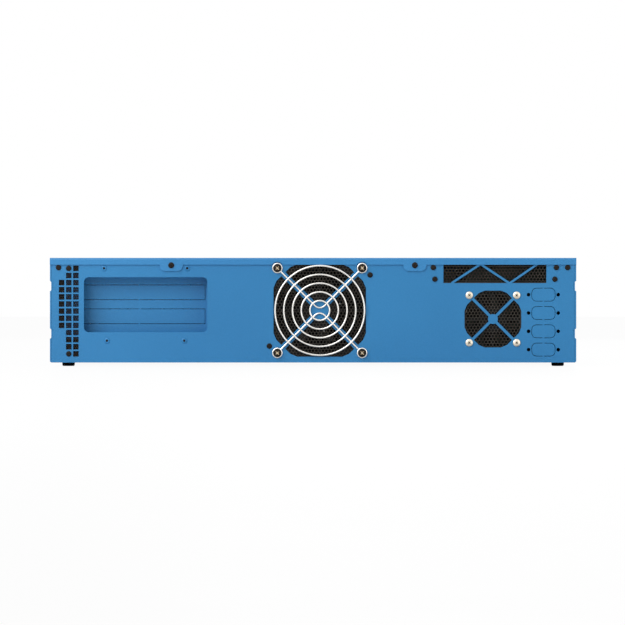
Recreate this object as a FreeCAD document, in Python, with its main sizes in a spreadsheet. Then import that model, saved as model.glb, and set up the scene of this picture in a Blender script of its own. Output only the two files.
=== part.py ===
"""A two-unit rack server with graphics cards, in a folded steel case.

The rear wall, which has the wire-guarded fan, looks along -Y. The drives, the power supplies and the sockets
are at the front, along +Y. +Z is up, and the origin is on the surface that the case stands on, below the
middle of its outline. All sizes are in millimetres.
"""
import FreeCAD, Part

import math
import os
import re

import Sketcher

Vector = FreeCAD.Vector

SIZES = {
    # The case: a floor pan with two side walls, a rear wall, a front wall and a cover
    "body_width": 444, "body_height": 88.3, "body_depth": 440, "steel": 1.2, "bend_radius": 1.6,
    "seam": 0.15, "clearance": 0.3, "screw_play": 0.1, "wall_flange": 12,
    "bead_low": 24.4, "bead_high": 64.5, "bead_height": 9, "bead_depth": 1.1, "bead_slope": 1,
    "foot_height": 3.3, "foot_radius": 5.35, "foot_inset": 13.6, "foot_setback": 26,
    "ear_hole_radius": 2.1, "ear_hole_setback": 22, "ear_hole_spacing": 32,
    # The cover, its lip over the rear wall and the two screw tabs of that lip
    "lip_height": 5.8, "lip_gap": 0.15, "tab_width": 19.4, "tab_drop": 11.1, "tab_corner": 4.5,
    "left_tab_inset": 102.4, "right_tab_inset": 136.2, "cover_screw_z": 82, "cover_flange": 8,
    "cover_flange_setback": 20, "cover_screw_head": 2.5, "cover_screw_head_height": 1.3,
    "cover_screw_radius": 1.5, "cover_nut_radius": 2.9, "cover_nut_height": 2.4, "guard_relief": 5.4,
    # Square vents by the left edge of the rear wall
    "grid_inset": 21.9, "grid_z": 7.3, "grid_pitch": 6.01, "grid_hole": 4.7, "grid_sheet_margin": 1.4,
    # The recess with two blanked card slots
    "recess_inset": 80.75, "recess_z": 48.8, "recess_width": 104.1, "recess_height": 46.4,
    "recess_corner": 4, "recess_depth": 15, "bay_margin": 4, "bay_side": 14, "bay_flange": 7.4,
    "slot_end_gap": 2.3, "slot_length": 112, "slot_height": 13, "slot_pitch": 20.32, "slot_z": 39,
    "slit": 0.45, "micro_joint": 1.4,
    "rivet_upper_spacing": 70.1, "rivet_lower_spacing": 65.2, "rivet_upper_z": 79.5, "rivet_lower_z": 18.4,
    "rivet_head": 2.5, "rivet_head_height": 0.9, "rivet_radius": 1.6, "rivet_hole": 0.9, "rivet_tail": 2.2,
    # The main exhaust fan, its perforated sheet and its wire guard
    "main_fan_x": 5.6, "main_fan_z": 43.9, "main_fan_size": 80, "main_fan_depth": 25,
    "main_fan_hole_spacing": 71.5, "main_fan_wall": 1.6, "main_fan_hub": 16, "main_blade_chord": 26,
    "main_opening": 78, "main_opening_chamfer": 16.6, "main_strut": 4.6, "main_strut_hub": 8.2,
    "sheet_screw_across": 42.5, "sheet_screw_rise": 30, "mesh_thickness": 0.8, "mesh_margin": 3.6,
    "mesh_hole": 12.4, "mesh_web": 2.8,
    "guard_wire": 1.8, "guard_inner_ring": 8.3, "guard_ring_pitch": 7.35, "guard_weld": 0.4,
    "guard_eye": 3.75, "guard_bend": 5.7, "guard_screw_head": 2.4, "guard_screw_head_radius": 3.6,
    "fan_screw_radius": 1.9, "fan_screw_length": 11,
    # The small exhaust fan
    "small_fan_inset": 70.3, "small_fan_z": 36.7, "small_fan_size": 50, "small_fan_depth": 15,
    "small_fan_hole_spacing": 40, "small_fan_wall": 1.2, "small_fan_hub": 12, "small_blade_chord": 15,
    "small_opening": 48, "small_opening_chamfer": 14.2, "small_strut": 2.3, "small_strut_hub": 4.2,
    "small_screw_head": 1.5, "small_screw_head_radius": 3.25, "small_screw_radius": 1.5,
    "small_screw_length": 8,
    # Both fans
    "blade_pitch": 36, "blade_thickness": 1.3, "blade_root": 0.55, "blade_sweep": 0.12, "blade_gap": 0.7, "motor_plate": 3,
    "fan_shaft": 1.5, "shaft_play": 0.06,
    # The upper vent and the plain screws of the rear wall
    "vent_inset": 68.65, "vent_z": 67, "vent_width": 86.9, "vent_height": 16, "vent_strut": 1.8,
    "vent_brace_pitch": 24.3,
    "vent_sheet_margin": 11, "vent_screw_upper": 103.8, "vent_screw_lower": 101.2,
    "vent_screw_upper_z": 80.1, "vent_screw_lower_z": 70.3,
    "corner_screw_inset": 7.3, "corner_screw_z": 80.1,
    "panel_screw_radius": 1.4, "panel_screw_length": 6, "panel_screw_head": 2.3,
    "panel_screw_head_height": 1.1,
    # The knock-outs for four nine-way sockets
    "port_inset": 27.7, "port_z": 10.9, "port_pitch": 15.45, "port_width": 20.2, "port_height": 11.4,
    "port_corner": 4, "port_hole_spacing": 25, "port_hole": 1.55,
    # Power supplies at the front, one above the other
    "psu_inset": 43, "psu_width": 73.5, "psu_height": 39.5, "psu_length": 185, "psu_z": 3.2, "psu_pitch": 41.5,
    "psu_play": 0.5, "psu_cage_steel": 1, "psu_edge": 5, "inlet_width": 24, "inlet_height": 16.5,
    "inlet_depth": 16, "inlet_offset": 17, "inlet_pin_thickness": 2, "inlet_pin_height": 4,
    "inlet_pin_spacing": 14, "inlet_pin_rise": 4, "inlet_pin_length": 12,
    "psu_grille_pitch": 4, "psu_grille_slot": 2.4, "psu_grille_height": 30, "psu_grille_depth": 3,
    "psu_handle_reach": 24, "psu_handle_span": 28, "psu_handle_rod": 2.2, "psu_handle_offset": 31,
    "latch_width": 3, "latch_height": 15, "latch_depth": 12, "latch_reach": 9, "latch_travel": 3,
    "latch_offset": 30.5, "power_board_gap": 6,
    # Drive bays at the front
    "bay_inset": 166.5, "tray_pitch": 79, "tray_width": 76, "tray_height": 22, "tray_z": 57.5,
    "tray_length": 116, "tray_rail": 2, "tray_bezel": 8, "cage_steel": 1, "tray_play": 0.5,
    "drive_width": 69.85, "drive_length": 100, "drive_height": 15, "lever_length": 58, "lever_height": 9,
    "lever_thickness": 3.2, "lever_pin": 1, "tray_slot": 5, "backplane_thickness": 1.6,
    # Main board and what stands on it
    "board_inset": 210, "board_width": 244, "board_length": 244, "board_thickness": 1.6, "board_setback": 2.2,
    "standoff_height": 6.5, "standoff_radius": 2.5, "standoff_inset": 9,
    "socket_shift": 0, "socket_setback": 187, "socket_size": 52, "socket_height": 7.5,
    "heatsink_width": 78, "heatsink_length": 92, "heatsink_height": 62, "heatsink_base": 7,
    "fin_thickness": 1.4, "fin_pitch": 6.4,
    "memory_shift": 54, "memory_pitch": 9.5, "memory_setback": 97, "memory_length": 142, "memory_width": 6.5,
    "memory_slot_height": 9, "memory_module_height": 31, "memory_module_thickness": 1.4,
    # Sockets in the input and output shield
    "shield_shift": 7.4, "shield_width": 158.75, "shield_height": 44.45, "shield_z": 6.6,
    "network_shift": 50, "network_pitch": 20, "network_width": 16, "network_height": 13.5,
    "network_depth": 21, "network_mouth_width": 11.7, "network_mouth_height": 8.2,
    "network_mouth_depth": 13, "usb_shift": 6, "usb_pitch": 20, "usb_width": 14, "usb_height": 16,
    "usb_depth": 17, "usb_mouth_width": 12, "usb_mouth_height": 4.4, "usb_tongue": 1.8,
    "video_shift": -30, "video_width": 31, "video_height": 12.5, "video_depth": 14, "video_shell": 16.3,
    # The graphics card at the front and its riser
    "card_edge_inset": 112.5, "card_width": 104, "card_length": 262, "card_z": 41, "card_thickness": 1.6,
    "card_setback": 5, "cooler_height": 33, "cooler_base": 5, "cooler_length": 236, "cooler_fin_pitch": 7,
    "shroud_thickness": 1.2, "bracket_thickness": 1, "bracket_low": 36.5, "bracket_high": 80.5,
    "bracket_slot": 3, "bracket_slot_pitch": 8, "riser_thickness": 1.6, "riser_setback": 62,
    "riser_length": 150, "riser_top": 62, "connector_reach": 11, "connector_height": 9,
    "connector_length": 89, "card_tongue": 7,
    # Rear riser for the two blanked slots
    "rear_riser_inset": 142, "rear_riser_length": 120, "rear_riser_top": 78, "riser_bracket_foot": 16,
    # Air duct from the heat sink to the main fan
    "duct_wall": 1.2,
    # Front wall: intake sheets, power switch, reset switch and status lights
    "window_margin": 4, "control_shift": 107, "power_z": 38, "reset_z": 22, "light_z": 49, "light_pitch": 6,
    "light_radius": 1.5, "power_radius": 5, "reset_radius": 2.5, "button_reach": 1.6, "button_travel": 1.5,
    "button_flange": 1.2, "button_length": 7, "control_board_setback": 12,
    "card_vent_width": 98, "card_vent_height": 22, "card_vent_z": 8,
}

# Where the sub-parts' middles lie across the case: by the left or right wall, or by the board's middle
PLACES = {
    "recess_x": "recess_inset - body_width / 2", "grid_x": "grid_inset - body_width / 2",
    "left_tab_x": "left_tab_inset - body_width / 2", "right_tab_x": "body_width / 2 - right_tab_inset",
    "slot_end_x": "recess_x + recess_width / 2 - slot_end_gap", "small_fan_x": "body_width / 2 - small_fan_inset",
    "vent_x": "body_width / 2 - vent_inset", "corner_screw_x": "body_width / 2 - corner_screw_inset",
    "port_x": "body_width / 2 - port_inset", "psu_x": "body_width / 2 - psu_inset",
    "bay_x": "body_width / 2 - bay_inset", "board_x": "body_width / 2 - board_inset",
    "socket_x": "board_x + socket_shift", "memory_x": "board_x + memory_shift",
    "shield_x": "board_x + shield_shift", "network_x": "board_x + network_shift", "usb_x": "board_x + usb_shift",
    "video_x": "board_x + video_shift", "control_x": "board_x + control_shift",
    "card_edge_x": "card_edge_inset - body_width / 2", "rear_riser_x": "rear_riser_inset - body_width / 2",
}

doc = FreeCAD.newDocument("server")
sheet = doc.addObject("Spreadsheet::Sheet", "Sizes")
for row, (name, value) in enumerate([*SIZES.items(), *PLACES.items()], start=1):
    sheet.set(f"A{row}", name)
    sheet.set(f"B{row}", f"={value}")
    sheet.setAlias(f"B{row}", name)
doc.recompute()

# How many corners stand for a circle on what repeats or is small: shanks, heads, posts and wide rounds
SHANK, HEAD, KNOB, WIDE = 6, 10, 16, 32
# The sketch plane that each axis is square to, and the way that plane's normal points
PLANES = {"x": ("YZ_Plane", 1), "y": ("XZ_Plane", -1), "z": ("XY_Plane", 1)}
# How a cylinder that stands along Z is turned to lie along each axis
TURNS = {
    "x": FreeCAD.Rotation(Vector(0, 1, 0), 90),
    "y": FreeCAD.Rotation(Vector(1, 0, 0), -90),
    "z": FreeCAD.Rotation(),
}


def formula(text):
    """A formula in the names of SIZES, as the document's expressions want it."""
    named = (SIZES.keys() | PLACES.keys()).__contains__
    return re.sub(r"[a-z_]\w*", lambda word: f"Sizes.{word[0]}" if named(word[0]) else word[0], str(text))


def number(text):
    """What a formula comes to."""
    return float(sheet.evalExpression(formula(text)))


def bind(item, **formulas):
    """Ties properties of a feature to the sizes. A double underscore stands for a full stop."""
    for name, text in formulas.items():
        item.setExpression(name.replace("__", "."), formula(text))


def body(label):
    """A sub-part, which starts empty."""
    made = doc.addObject("PartDesign::Body", label)
    made.Label = label
    made.AllowCompound = True
    return made


def origin_feature(owner, role):
    return next(item for item in owner.Origin.OriginFeatures if item.Role == role)


def block(owner, x, y, z, cut=False):
    """A box between two places on each axis."""
    kind = "Subtractive" if cut else "Additive"
    made = owner.newObject(f"PartDesign::{kind}Box", "Block")
    bind(made, Length=f"({x[1]}) - ({x[0]})", Width=f"({y[1]}) - ({y[0]})", Height=f"({z[1]}) - ({z[0]})")
    bind(made, Placement__Base__x=x[0], Placement__Base__y=y[0], Placement__Base__z=z[0])
    return made


def cylinder(owner, axis, centre, span, radius, cut=False, corners=0):
    """A cylinder along an axis, or an even prism in its place where corners are given.

    The centre is its place on the two other axes, in their order.
    """
    kind = ("Subtractive" if cut else "Additive") + ("Prism" if corners else "Cylinder")
    made = owner.newObject(f"PartDesign::{kind}", "Round")
    made.Placement = FreeCAD.Placement(Vector(), TURNS[axis])
    places = dict(zip([letter for letter in "xyz" if letter != axis], centre))
    places[axis] = span[0]
    if corners:
        made.Polygon = corners
    bind(made, Height=f"({span[1]}) - ({span[0]})", **{"Circumradius" if corners else "Radius": radius})
    bind(made, Placement__Base__x=places["x"], Placement__Base__y=places["y"], Placement__Base__z=places["z"])
    return made


def repeat(owner, feature, *rows):
    """Repeats a feature along one or two axes. Each row is an axis letter, a count and a pitch."""
    made = owner.newObject("PartDesign::LinearPattern", "Pattern")
    made.Originals = [feature]
    for end, (axis, count, pitch) in zip(("", "2"), rows):
        setattr(made, "Direction" + end, (origin_feature(owner, axis.upper() + "_Axis"), [""]))
        setattr(made, "Mode" + end, "Spacing")
        setattr(made, "Occurrences" + end, count)
        # A spacing of -1 stands for the one pitch that all steps share
        setattr(made, "Spacings" + end, [-1.0] * (count - 1))
        bind(made, **{"Offset" + end: pitch})
    owner.Tip = made
    return made


def round_edges(owner, radius, chosen):
    """Rounds the edges of a sub-part that pass a test."""
    doc.recompute()
    base = owner.Tip
    names = [f"Edge{n}" for n, edge in enumerate(base.Shape.Edges, start=1) if chosen(edge)]
    made = owner.newObject("PartDesign::Fillet", "Fillet")
    made.Base = (base, names)
    bind(made, Radius=radius)
    return made


def runs_along(edge, axis):
    """Whether an edge is a straight line along an axis."""
    box = edge.BoundBox
    lengths = {"x": box.XLength, "y": box.YLength, "z": box.ZLength}
    return lengths.pop(axis) > 0.01 and max(lengths.values()) < 0.001


class Drawing:
    """Closed outlines for one sketch, with each point tied to the sizes."""

    def __init__(self):
        self.geometry = []
        self.constraints = []
        self.formulas = []

    def place(self, item, point, u, v):
        for kind, text in (("DistanceX", u), ("DistanceY", v)):
            self.constraints.append(Sketcher.Constraint(kind, -1, 1, item, point, number(text)))
            self.formulas.append((len(self.constraints) - 1, text))

    def size(self, item, radius):
        self.constraints.append(Sketcher.Constraint("Radius", item, number(radius)))
        self.formulas.append((len(self.constraints) - 1, radius))

    def polygon(self, points):
        start = len(self.geometry)
        corners = [Vector(number(u), number(v), 0) for u, v in points]
        for n, corner in enumerate(corners):
            after = (n + 1) % len(corners)
            self.geometry.append(Part.LineSegment(corner, corners[after]))
            self.constraints.append(Sketcher.Constraint("Coincident", start + n, 2, start + after, 1))
            self.place(start + n, 1, *points[n])
        return self

    def circle(self, u, v, radius):
        self.geometry.append(Part.Circle(Vector(number(u), number(v), 0), Vector(0, 0, 1), number(radius)))
        self.place(len(self.geometry) - 1, 3, u, v)
        self.size(len(self.geometry) - 1, radius)
        return self

    def rectangle(self, u, v):
        return self.polygon([(u[0], v[0]), (u[1], v[0]), (u[1], v[1]), (u[0], v[1])])

    def rounded(self, u, v, radius):
        """A rectangle with round corners: an arc and the side after it, four times."""
        start = len(self.geometry)
        near = [f"({low}) + ({radius})" for low in (u[0], v[0])]
        far = [f"({high}) - ({radius})" for high in (u[1], v[1])]
        centres = [(near[0], near[1]), (far[0], near[1]), (far[0], far[1]), (near[0], far[1])]
        reach = number(radius)
        middles = [Vector(number(a), number(b), 0) for a, b in centres]
        for n, middle in enumerate(middles):
            turn = math.pi * (1 + n / 2)
            self.geometry.append(
                Part.ArcOfCircle(Part.Circle(middle, Vector(0, 0, 1), reach), turn, turn + math.pi / 2)
            )
            out = Vector(math.cos(turn + math.pi / 2), math.sin(turn + math.pi / 2), 0) * reach
            self.geometry.append(Part.LineSegment(middle + out, middles[(n + 1) % 4] + out))
            arc, side, after = start + 2 * n, start + 2 * n + 1, start + (2 * n + 2) % 8
            self.constraints.append(Sketcher.Constraint("Tangent", arc, 2, side, 1))
            self.constraints.append(Sketcher.Constraint("Tangent", side, 2, after, 1))
            self.place(arc, 3, *centres[n])
            self.size(arc, radius)
        return self


def press(owner, drawing, axis, span, cut=False):
    """Pads a drawing between two places on an axis, or cuts it out between them."""
    plane, way = PLANES[axis]
    made = owner.newObject("Sketcher::SketchObject", "Outline")
    made.AttachmentSupport = [(origin_feature(owner, plane), "")]
    made.MapMode = "FlatFace"
    # A pad runs along the plane's normal, and a pocket against it
    starts_low = (way > 0) != cut
    bind(made, AttachmentOffset__Base__z=f"{way} * ({span[0] if starts_low else span[1]})")
    made.addGeometry(drawing.geometry)
    made.addConstraint(drawing.constraints)
    for index, text in drawing.formulas:
        made.setExpression(f"Constraints[{index}]", formula(text))
    feature = owner.newObject("PartDesign::Pocket" if cut else "PartDesign::Pad", "Pressing")
    feature.Profile = made
    bind(feature, Length=f"({span[1]}) - ({span[0]})")
    owner.Tip = feature
    return feature


def around(middle, width):
    """The two ends of a width that lies evenly about a place."""
    return f"({middle}) - ({width}) / 2", f"({middle}) + ({width}) / 2"


# Places that many sub-parts share
SIDE = "body_width / 2"
INSIDE = "(body_width / 2 - steel)"
REAR = "((guard_wire + guard_screw_head - psu_handle_reach - body_depth) / 2)"
FRONT = f"({REAR} + body_depth)"


def up(height):
    """A height above the underside of the case."""
    return f"(foot_height + {height})"


def inward(distance):
    """A place behind the outer face of the rear wall."""
    return f"({REAR} + {distance})"


def back(distance):
    """A place behind the outer face of the front wall."""
    return f"({FRONT} - ({distance}))"


FLOOR = up("steel")
LID = up("body_height")
UNDER_LID = up("body_height - steel")
WALL_TOP = up("body_height - steel - clearance")
BOARD_TOP = up("steel + standoff_height + board_thickness")
MESH_BACK = inward("steel + mesh_thickness")
# Each fan and the radius of its screws
FANS = {"main": "fan_screw_radius", "small": "small_screw_radius"}
GRID_ROWS = 13
# A corner's points as shares of its size along both sides: an eased chamfer, and a round in three steps
EASED = ((0, 1.2), (0.15, 0.85), (0.85, 0.15), (1.2, 0))
ROUND = ((0, 1), (0.134, 0.5), (0.5, 0.134), (1, 0))
TABS = ("left_tab_x", "right_tab_x")
PORTS = 4
TRAYS = (0, 1)
SUPPLIES = (0, 1)


def beaded_edge(edge, top):
    """The points of a right-hand side edge, from the bottom up, as it follows the two pressed beads."""
    points = [(edge, up("0"))]
    for bead in ("bead_low", "bead_high"):
        low, high = up(f"{bead} - bead_height / 2"), up(f"{bead} + bead_height / 2")
        sunk = f"({edge} - bead_depth)"
        points += [(edge, low), (sunk, f"{low} + bead_slope"), (sunk, f"{high} - bead_slope"), (edge, high)]
    return points + [(edge, top)]


def mirrored(points):
    return [(f"-({u})", v) for u, v in reversed(points)]


def base_pan():
    """Floor and side walls in one bent sheet, with two beads pressed into each wall along its length."""
    pan = body("base_pan")
    outer = beaded_edge(SIDE, UNDER_LID)
    inner = beaded_edge(INSIDE, UNDER_LID)
    inner[0] = (INSIDE, FLOOR)
    right = outer + inner[::-1]
    press(pan, Drawing().polygon(right + mirrored(right)), "y", (REAR, FRONT))
    half = number(SIDE)
    round_edges(
        pan, "bend_radius",
        lambda edge: runs_along(edge, "y") and edge.BoundBox.ZMax < number(up("0")) + 0.01
        and abs(edge.BoundBox.XMax) > half - 0.01,
    )
    # The floor stops short at both ends, where the end walls hide its edge
    for near, far in ((REAR, inward("steel")), (back("steel"), FRONT)):
        block(pan, (f"-{INSIDE}", INSIDE), (near, far), (up("0"), f"{FLOOR} + bend_radius"), cut=True)
    # Holes for rack ears or slides, in both side walls
    holes = Drawing()
    for setback in ("ear_hole_setback", "ear_hole_setback + ear_hole_spacing"):
        holes.circle(back(setback), up("body_height / 2"), "ear_hole_radius")
    press(pan, holes, "x", (f"-{SIDE}", SIDE), cut=True)


def flanged_wall(label, outer, inner, flange_end):
    """An end wall between the side walls, with folded edges that lie on the floor and along the sides."""
    wall = body(label)
    edge = f"({INSIDE} - seam)"
    right = beaded_edge(edge, WALL_TOP)
    low, high = sorted((outer, inner), key=number)
    press(wall, Drawing().polygon(right + mirrored(right)), "y", (low, high))
    low, high = sorted((inner, flange_end), key=number)
    inner_edge = f"({edge} - bead_depth - seam)"
    block(wall, (f"-{inner_edge}", inner_edge), (low, high), (FLOOR, f"{FLOOR} + steel"))
    for near, far in ((f"-{inner_edge}", f"-{inner_edge} + steel"), (f"{inner_edge} - steel", inner_edge)):
        block(wall, (near, far), (low, high), (FLOOR, WALL_TOP))
    return wall


def cornered(drawing, x, z, width, height, corner, shape=((0, 1), (1, 0))):
    """A rectangle with its corners cut off, through points that the shape gives as shares of the corner."""
    points = []
    for side, rise in ((1, 1), (-1, 1), (-1, -1), (1, -1)):
        for inward_x, inward_z in shape if side == rise else reversed(shape):
            points.append((f"{x} + ({side}) * (({width}) / 2 - ({corner}) * {inward_x})",
                           up(f"{z} + ({rise}) * (({height}) / 2 - ({corner}) * {inward_z})")))
    return drawing.polygon(points)


def arm(drawing, start, end, width):
    """A straight bar of even width between two points."""
    run, rise = (f"({end[n]} - ({start[n]}))" for n in (0, 1))
    half = f"{width} / 2 / sqrt({run} * {run} + {rise} * {rise})"
    drawing.polygon([
        (f"{place[0]} - ({side}) * {rise} * {half}", f"{place[1]} + ({side}) * {run} * {half}")
        for place, side in ((start, 1), (start, -1), (end, -1), (end, 1))
    ])


def fan_struts(drawing, fan):
    """Four arms from the corners of a fan's opening to the plain round hub in front of its motor."""
    x, z = f"{fan}_fan_x", up(f"{fan}_fan_z")
    inner, outer = f"{fan}_strut_hub * 0.6", f"({fan}_fan_hole_spacing / 2 - {fan}_strut)"
    for across in "+-":
        for rise in "+-":
            arm(drawing, (f"{x} {across} {inner}", f"{z} {rise} {inner}"),
                (f"{x} {across} {outer}", f"{z} {rise} {outer}"), f"{fan}_strut")


def corner_places(x, z, spacing):
    """The four corners of a square of fixing holes."""
    return [(u, up(v)) for u in around(x, spacing) for v in around(z, spacing)]


def sheet_screw_places():
    """The two screws that hold the main fan's perforated sheet, at opposite corners."""
    return [(f"main_fan_x {sign} sheet_screw_across", up(f"main_fan_z {sign} sheet_screw_rise")) for sign in "+-"]


def vent_screw_places():
    upper = [(u, up("vent_screw_upper_z")) for u in around("vent_x", "vent_screw_upper")]
    return upper + [(u, up("vent_screw_lower_z")) for u in around("vent_x", "vent_screw_lower")]


def grid_screw_places():
    """Two screws stand in for the first and last vent of the middle column."""
    x = "grid_x - grid_pitch"
    return [(x, up("grid_z")), (x, up(f"grid_z + {GRID_ROWS - 1} * grid_pitch"))]


def grid_sheet():
    """From left to right and from low to high, where the sheet behind the square vents lies."""
    rim = "(grid_hole / 2 + grid_sheet_margin)"
    return ((f"grid_x - 2 * grid_pitch - {rim}", f"grid_x + {rim}"),
            (up(f"grid_z - {rim}"), up(f"grid_z + {GRID_ROWS - 1} * grid_pitch + {rim}")))


def corner_screw_places():
    return [(f"{sign} corner_screw_x", up("corner_screw_z")) for sign in "-+"]


def panel_screw_places():
    return sheet_screw_places() + vent_screw_places() + grid_screw_places() + corner_screw_places()


def rivet_places():
    upper = [(u, up("rivet_upper_z")) for u in around("recess_x", "rivet_upper_spacing")]
    return upper + [(u, up("rivet_lower_z")) for u in around("recess_x", "rivet_lower_spacing")]


def fan_screw_places(fan):
    return corner_places(f"{fan}_fan_x", f"{fan}_fan_z", f"{fan}_fan_hole_spacing")


def rear_punch():
    """What punches the square vents, of which the outer columns are shorter, and the holes for screws."""
    punch = body("rear_punch")
    through = (f"{REAR} - steel", inward("2 * steel"))
    for column, (first, last) in enumerate(((0, 12), (1, 11), (4, 10))):
        low = up(f"grid_z + {first} * grid_pitch - grid_hole / 2")
        vent = block(punch, around(f"grid_x - {column} * grid_pitch", "grid_hole"), through,
                     (low, f"{low} + grid_hole"))
        repeat(punch, vent, ("z", last - first + 1, "grid_pitch"))
    for fan, screw in FANS.items():
        hole = cylinder(punch, "y", fan_screw_places(fan)[0], through, f"{screw} + screw_play", corners=SHANK)
        repeat(punch, hole, ("x", 2, f"{fan}_fan_hole_spacing"), ("z", 2, f"{fan}_fan_hole_spacing"))
    for place in panel_screw_places():
        cylinder(punch, "y", place, through, "panel_screw_radius + screw_play", corners=SHANK)
    for place in rivet_places():
        cylinder(punch, "y", place, through, "rivet_radius + screw_play", corners=SHANK)
    for x in TABS:
        cylinder(punch, "y", (x, up("cover_screw_z")), through, "cover_screw_radius + clearance", corners=HEAD)
    return punch


def rear_panel():
    """The rear wall of the photograph, with its openings, knock-outs and vents."""
    through = (REAR, inward("steel"))
    wall = flanged_wall("rear_panel", REAR, inward("steel"), inward("wall_flange"))
    edge = f"({INSIDE} - seam)"
    ledge = (f"{WALL_TOP} - steel", WALL_TOP)
    block(wall, (f"-{edge}", edge), (inward("steel"), inward("wall_flange")), ledge)
    # Open-topped slots that the cover's screws drop into, and wider ones in the ledge for their nuts
    nuts, slots = Drawing(), Drawing()
    for x in TABS:
        nuts.rectangle(around(x, "2 * (cover_nut_radius + clearance)"), ledge)
        slots.rectangle(around(x, "2 * (cover_screw_radius + clearance)"), (up("cover_screw_z"), WALL_TOP))
    press(wall, nuts, "y", (inward("steel"), inward("wall_flange")), cut=True)
    press(wall, slots, "y", through, cut=True)
    openings = Drawing()
    openings.rounded(around("recess_x", "recess_width"),
                     [up(v) for v in around("recess_z", "recess_height")], "recess_corner")
    low, high = up("vent_z"), up("vent_z + vent_height")
    openings.rectangle(around("vent_x", "vent_width"), (low, high))
    for fan in FANS:
        opening = f"{fan}_opening"
        cornered(openings, f"{fan}_fan_x", f"{fan}_fan_z", opening, opening, f"{fan}_opening_chamfer", EASED)
    press(wall, openings, "y", through, cut=True)
    # Plain struts over the fans, and an even zigzag of braces across the upper vent
    struts = Drawing()
    for fan in FANS:
        fan_struts(struts, fan)
    turns = [(f"vent_x + ({step} - 1.5) * vent_brace_pitch", (low, high)[step % 2]) for step in range(4)]
    for one, other in zip(turns, turns[1:]):
        arm(struts, one, other, "vent_strut")
    press(wall, struts, "y", through)
    for fan in FANS:
        cylinder(wall, "y", (f"{fan}_fan_x", up(f"{fan}_fan_z")), through, f"{fan}_strut_hub", corners=KNOB)
    # A slit around each port blank, which small joints still hold at the middle of its long sides
    slit = Drawing()
    for inset in ("0", "slit"):
        cornered(slit, "port_x", "port_z", f"port_width - 2 * {inset}", f"port_height - 2 * {inset}",
                 f"(port_corner - {inset})", ROUND)
    repeat(wall, press(wall, slit, "y", through, cut=True), ("z", PORTS, "port_pitch"))
    joint = block(wall, around("port_x", "micro_joint"), through,
                  (up("port_z - port_height / 2"), up("port_z - port_height / 2 + slit")))
    repeat(wall, joint, ("z", PORTS, "port_pitch"), ("z", 2, "port_height - slit"))
    holes = Drawing()
    for row in range(PORTS):
        for u in around("port_x", "port_hole_spacing"):
            holes.circle(u, up(f"port_z + {row} * port_pitch"), "port_hole")
    press(wall, holes, "y", through, cut=True)
    punched = wall.newObject("PartDesign::Boolean", "Punched")
    punched.Type = "Cut"
    punched.Group = [rear_punch()]
    wall.Tip = punched


def expansion_bay():
    """A box behind the recess, whose rear plate has two card slots with their blanks still in place."""
    bay = body("expansion_bay")
    left, right = "(recess_x - recess_width / 2 - bay_side)", "(recess_x + recess_width / 2)"
    low, high = (up(v) for v in around("recess_z", "recess_height + 2 * bay_margin"))
    face, floor = inward("steel"), inward("steel + recess_depth")
    block(bay, (f"{left} - steel", f"{right} + steel"), (face, f"{floor} + steel"),
          (f"{low} - steel", f"{high} + steel"))
    for near, far in ((f"{low} - steel - bay_flange", f"{low} - steel"),
                      (f"{high} + steel", f"{high} + steel + bay_flange")):
        block(bay, around("recess_x", "recess_width"), (face, f"{face} + steel"), (near, far))
    block(bay, (left, right), (face, floor), (low, high), cut=True)
    # The side of the box stands back from the sheet behind the square vents
    block(bay, (f"{left} - 2 * steel", f"{grid_sheet()[0][1]} + clearance"), (face, MESH_BACK),
          (f"{low} - 2 * steel", f"{high} + 2 * steel"), cut=True)
    block(bay, around("left_tab_x", "2 * (cover_nut_radius + clearance)"), (face, f"{face} + steel"),
          (up("cover_screw_z - cover_nut_radius - clearance"), f"{high} + steel + bay_flange"), cut=True)
    slits = Drawing()
    for row in range(2):
        z = f"slot_z + {row} * slot_pitch"
        for inset in ("0", "slit"):
            slits.rectangle((f"slot_end_x - slot_length + {inset}", f"slot_end_x - {inset}"),
                            (up(f"{z} - slot_height / 2 + {inset}"), up(f"{z} + slot_height / 2 - {inset}")))
    through = (floor, f"{floor} + steel")
    press(bay, slits, "y", through, cut=True)
    joint = block(bay, around("slot_end_x - slot_length / 2", "micro_joint"), through,
                  (up("slot_z - slot_height / 2"), up("slot_z - slot_height / 2 + slit")))
    repeat(bay, joint, ("z", 2, "slot_pitch"), ("z", 2, "slot_height - slit"))
    for place in rivet_places():
        cylinder(bay, "y", place, (face, f"{face} + steel"), "rivet_radius + screw_play", cut=True, corners=SHANK)


def even_outline(centre, radius, corners, first):
    """A closed outline with even corners about a centre, square to the Y axis, which runs clockwise from +X."""
    turns = [first + 2 * math.pi * n / corners for n in range(corners)]
    points = [centre + Vector(math.cos(turn), 0, -math.sin(turn)) * radius for turn in turns]
    return Part.makePolygon(points + points[:1])


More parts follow.
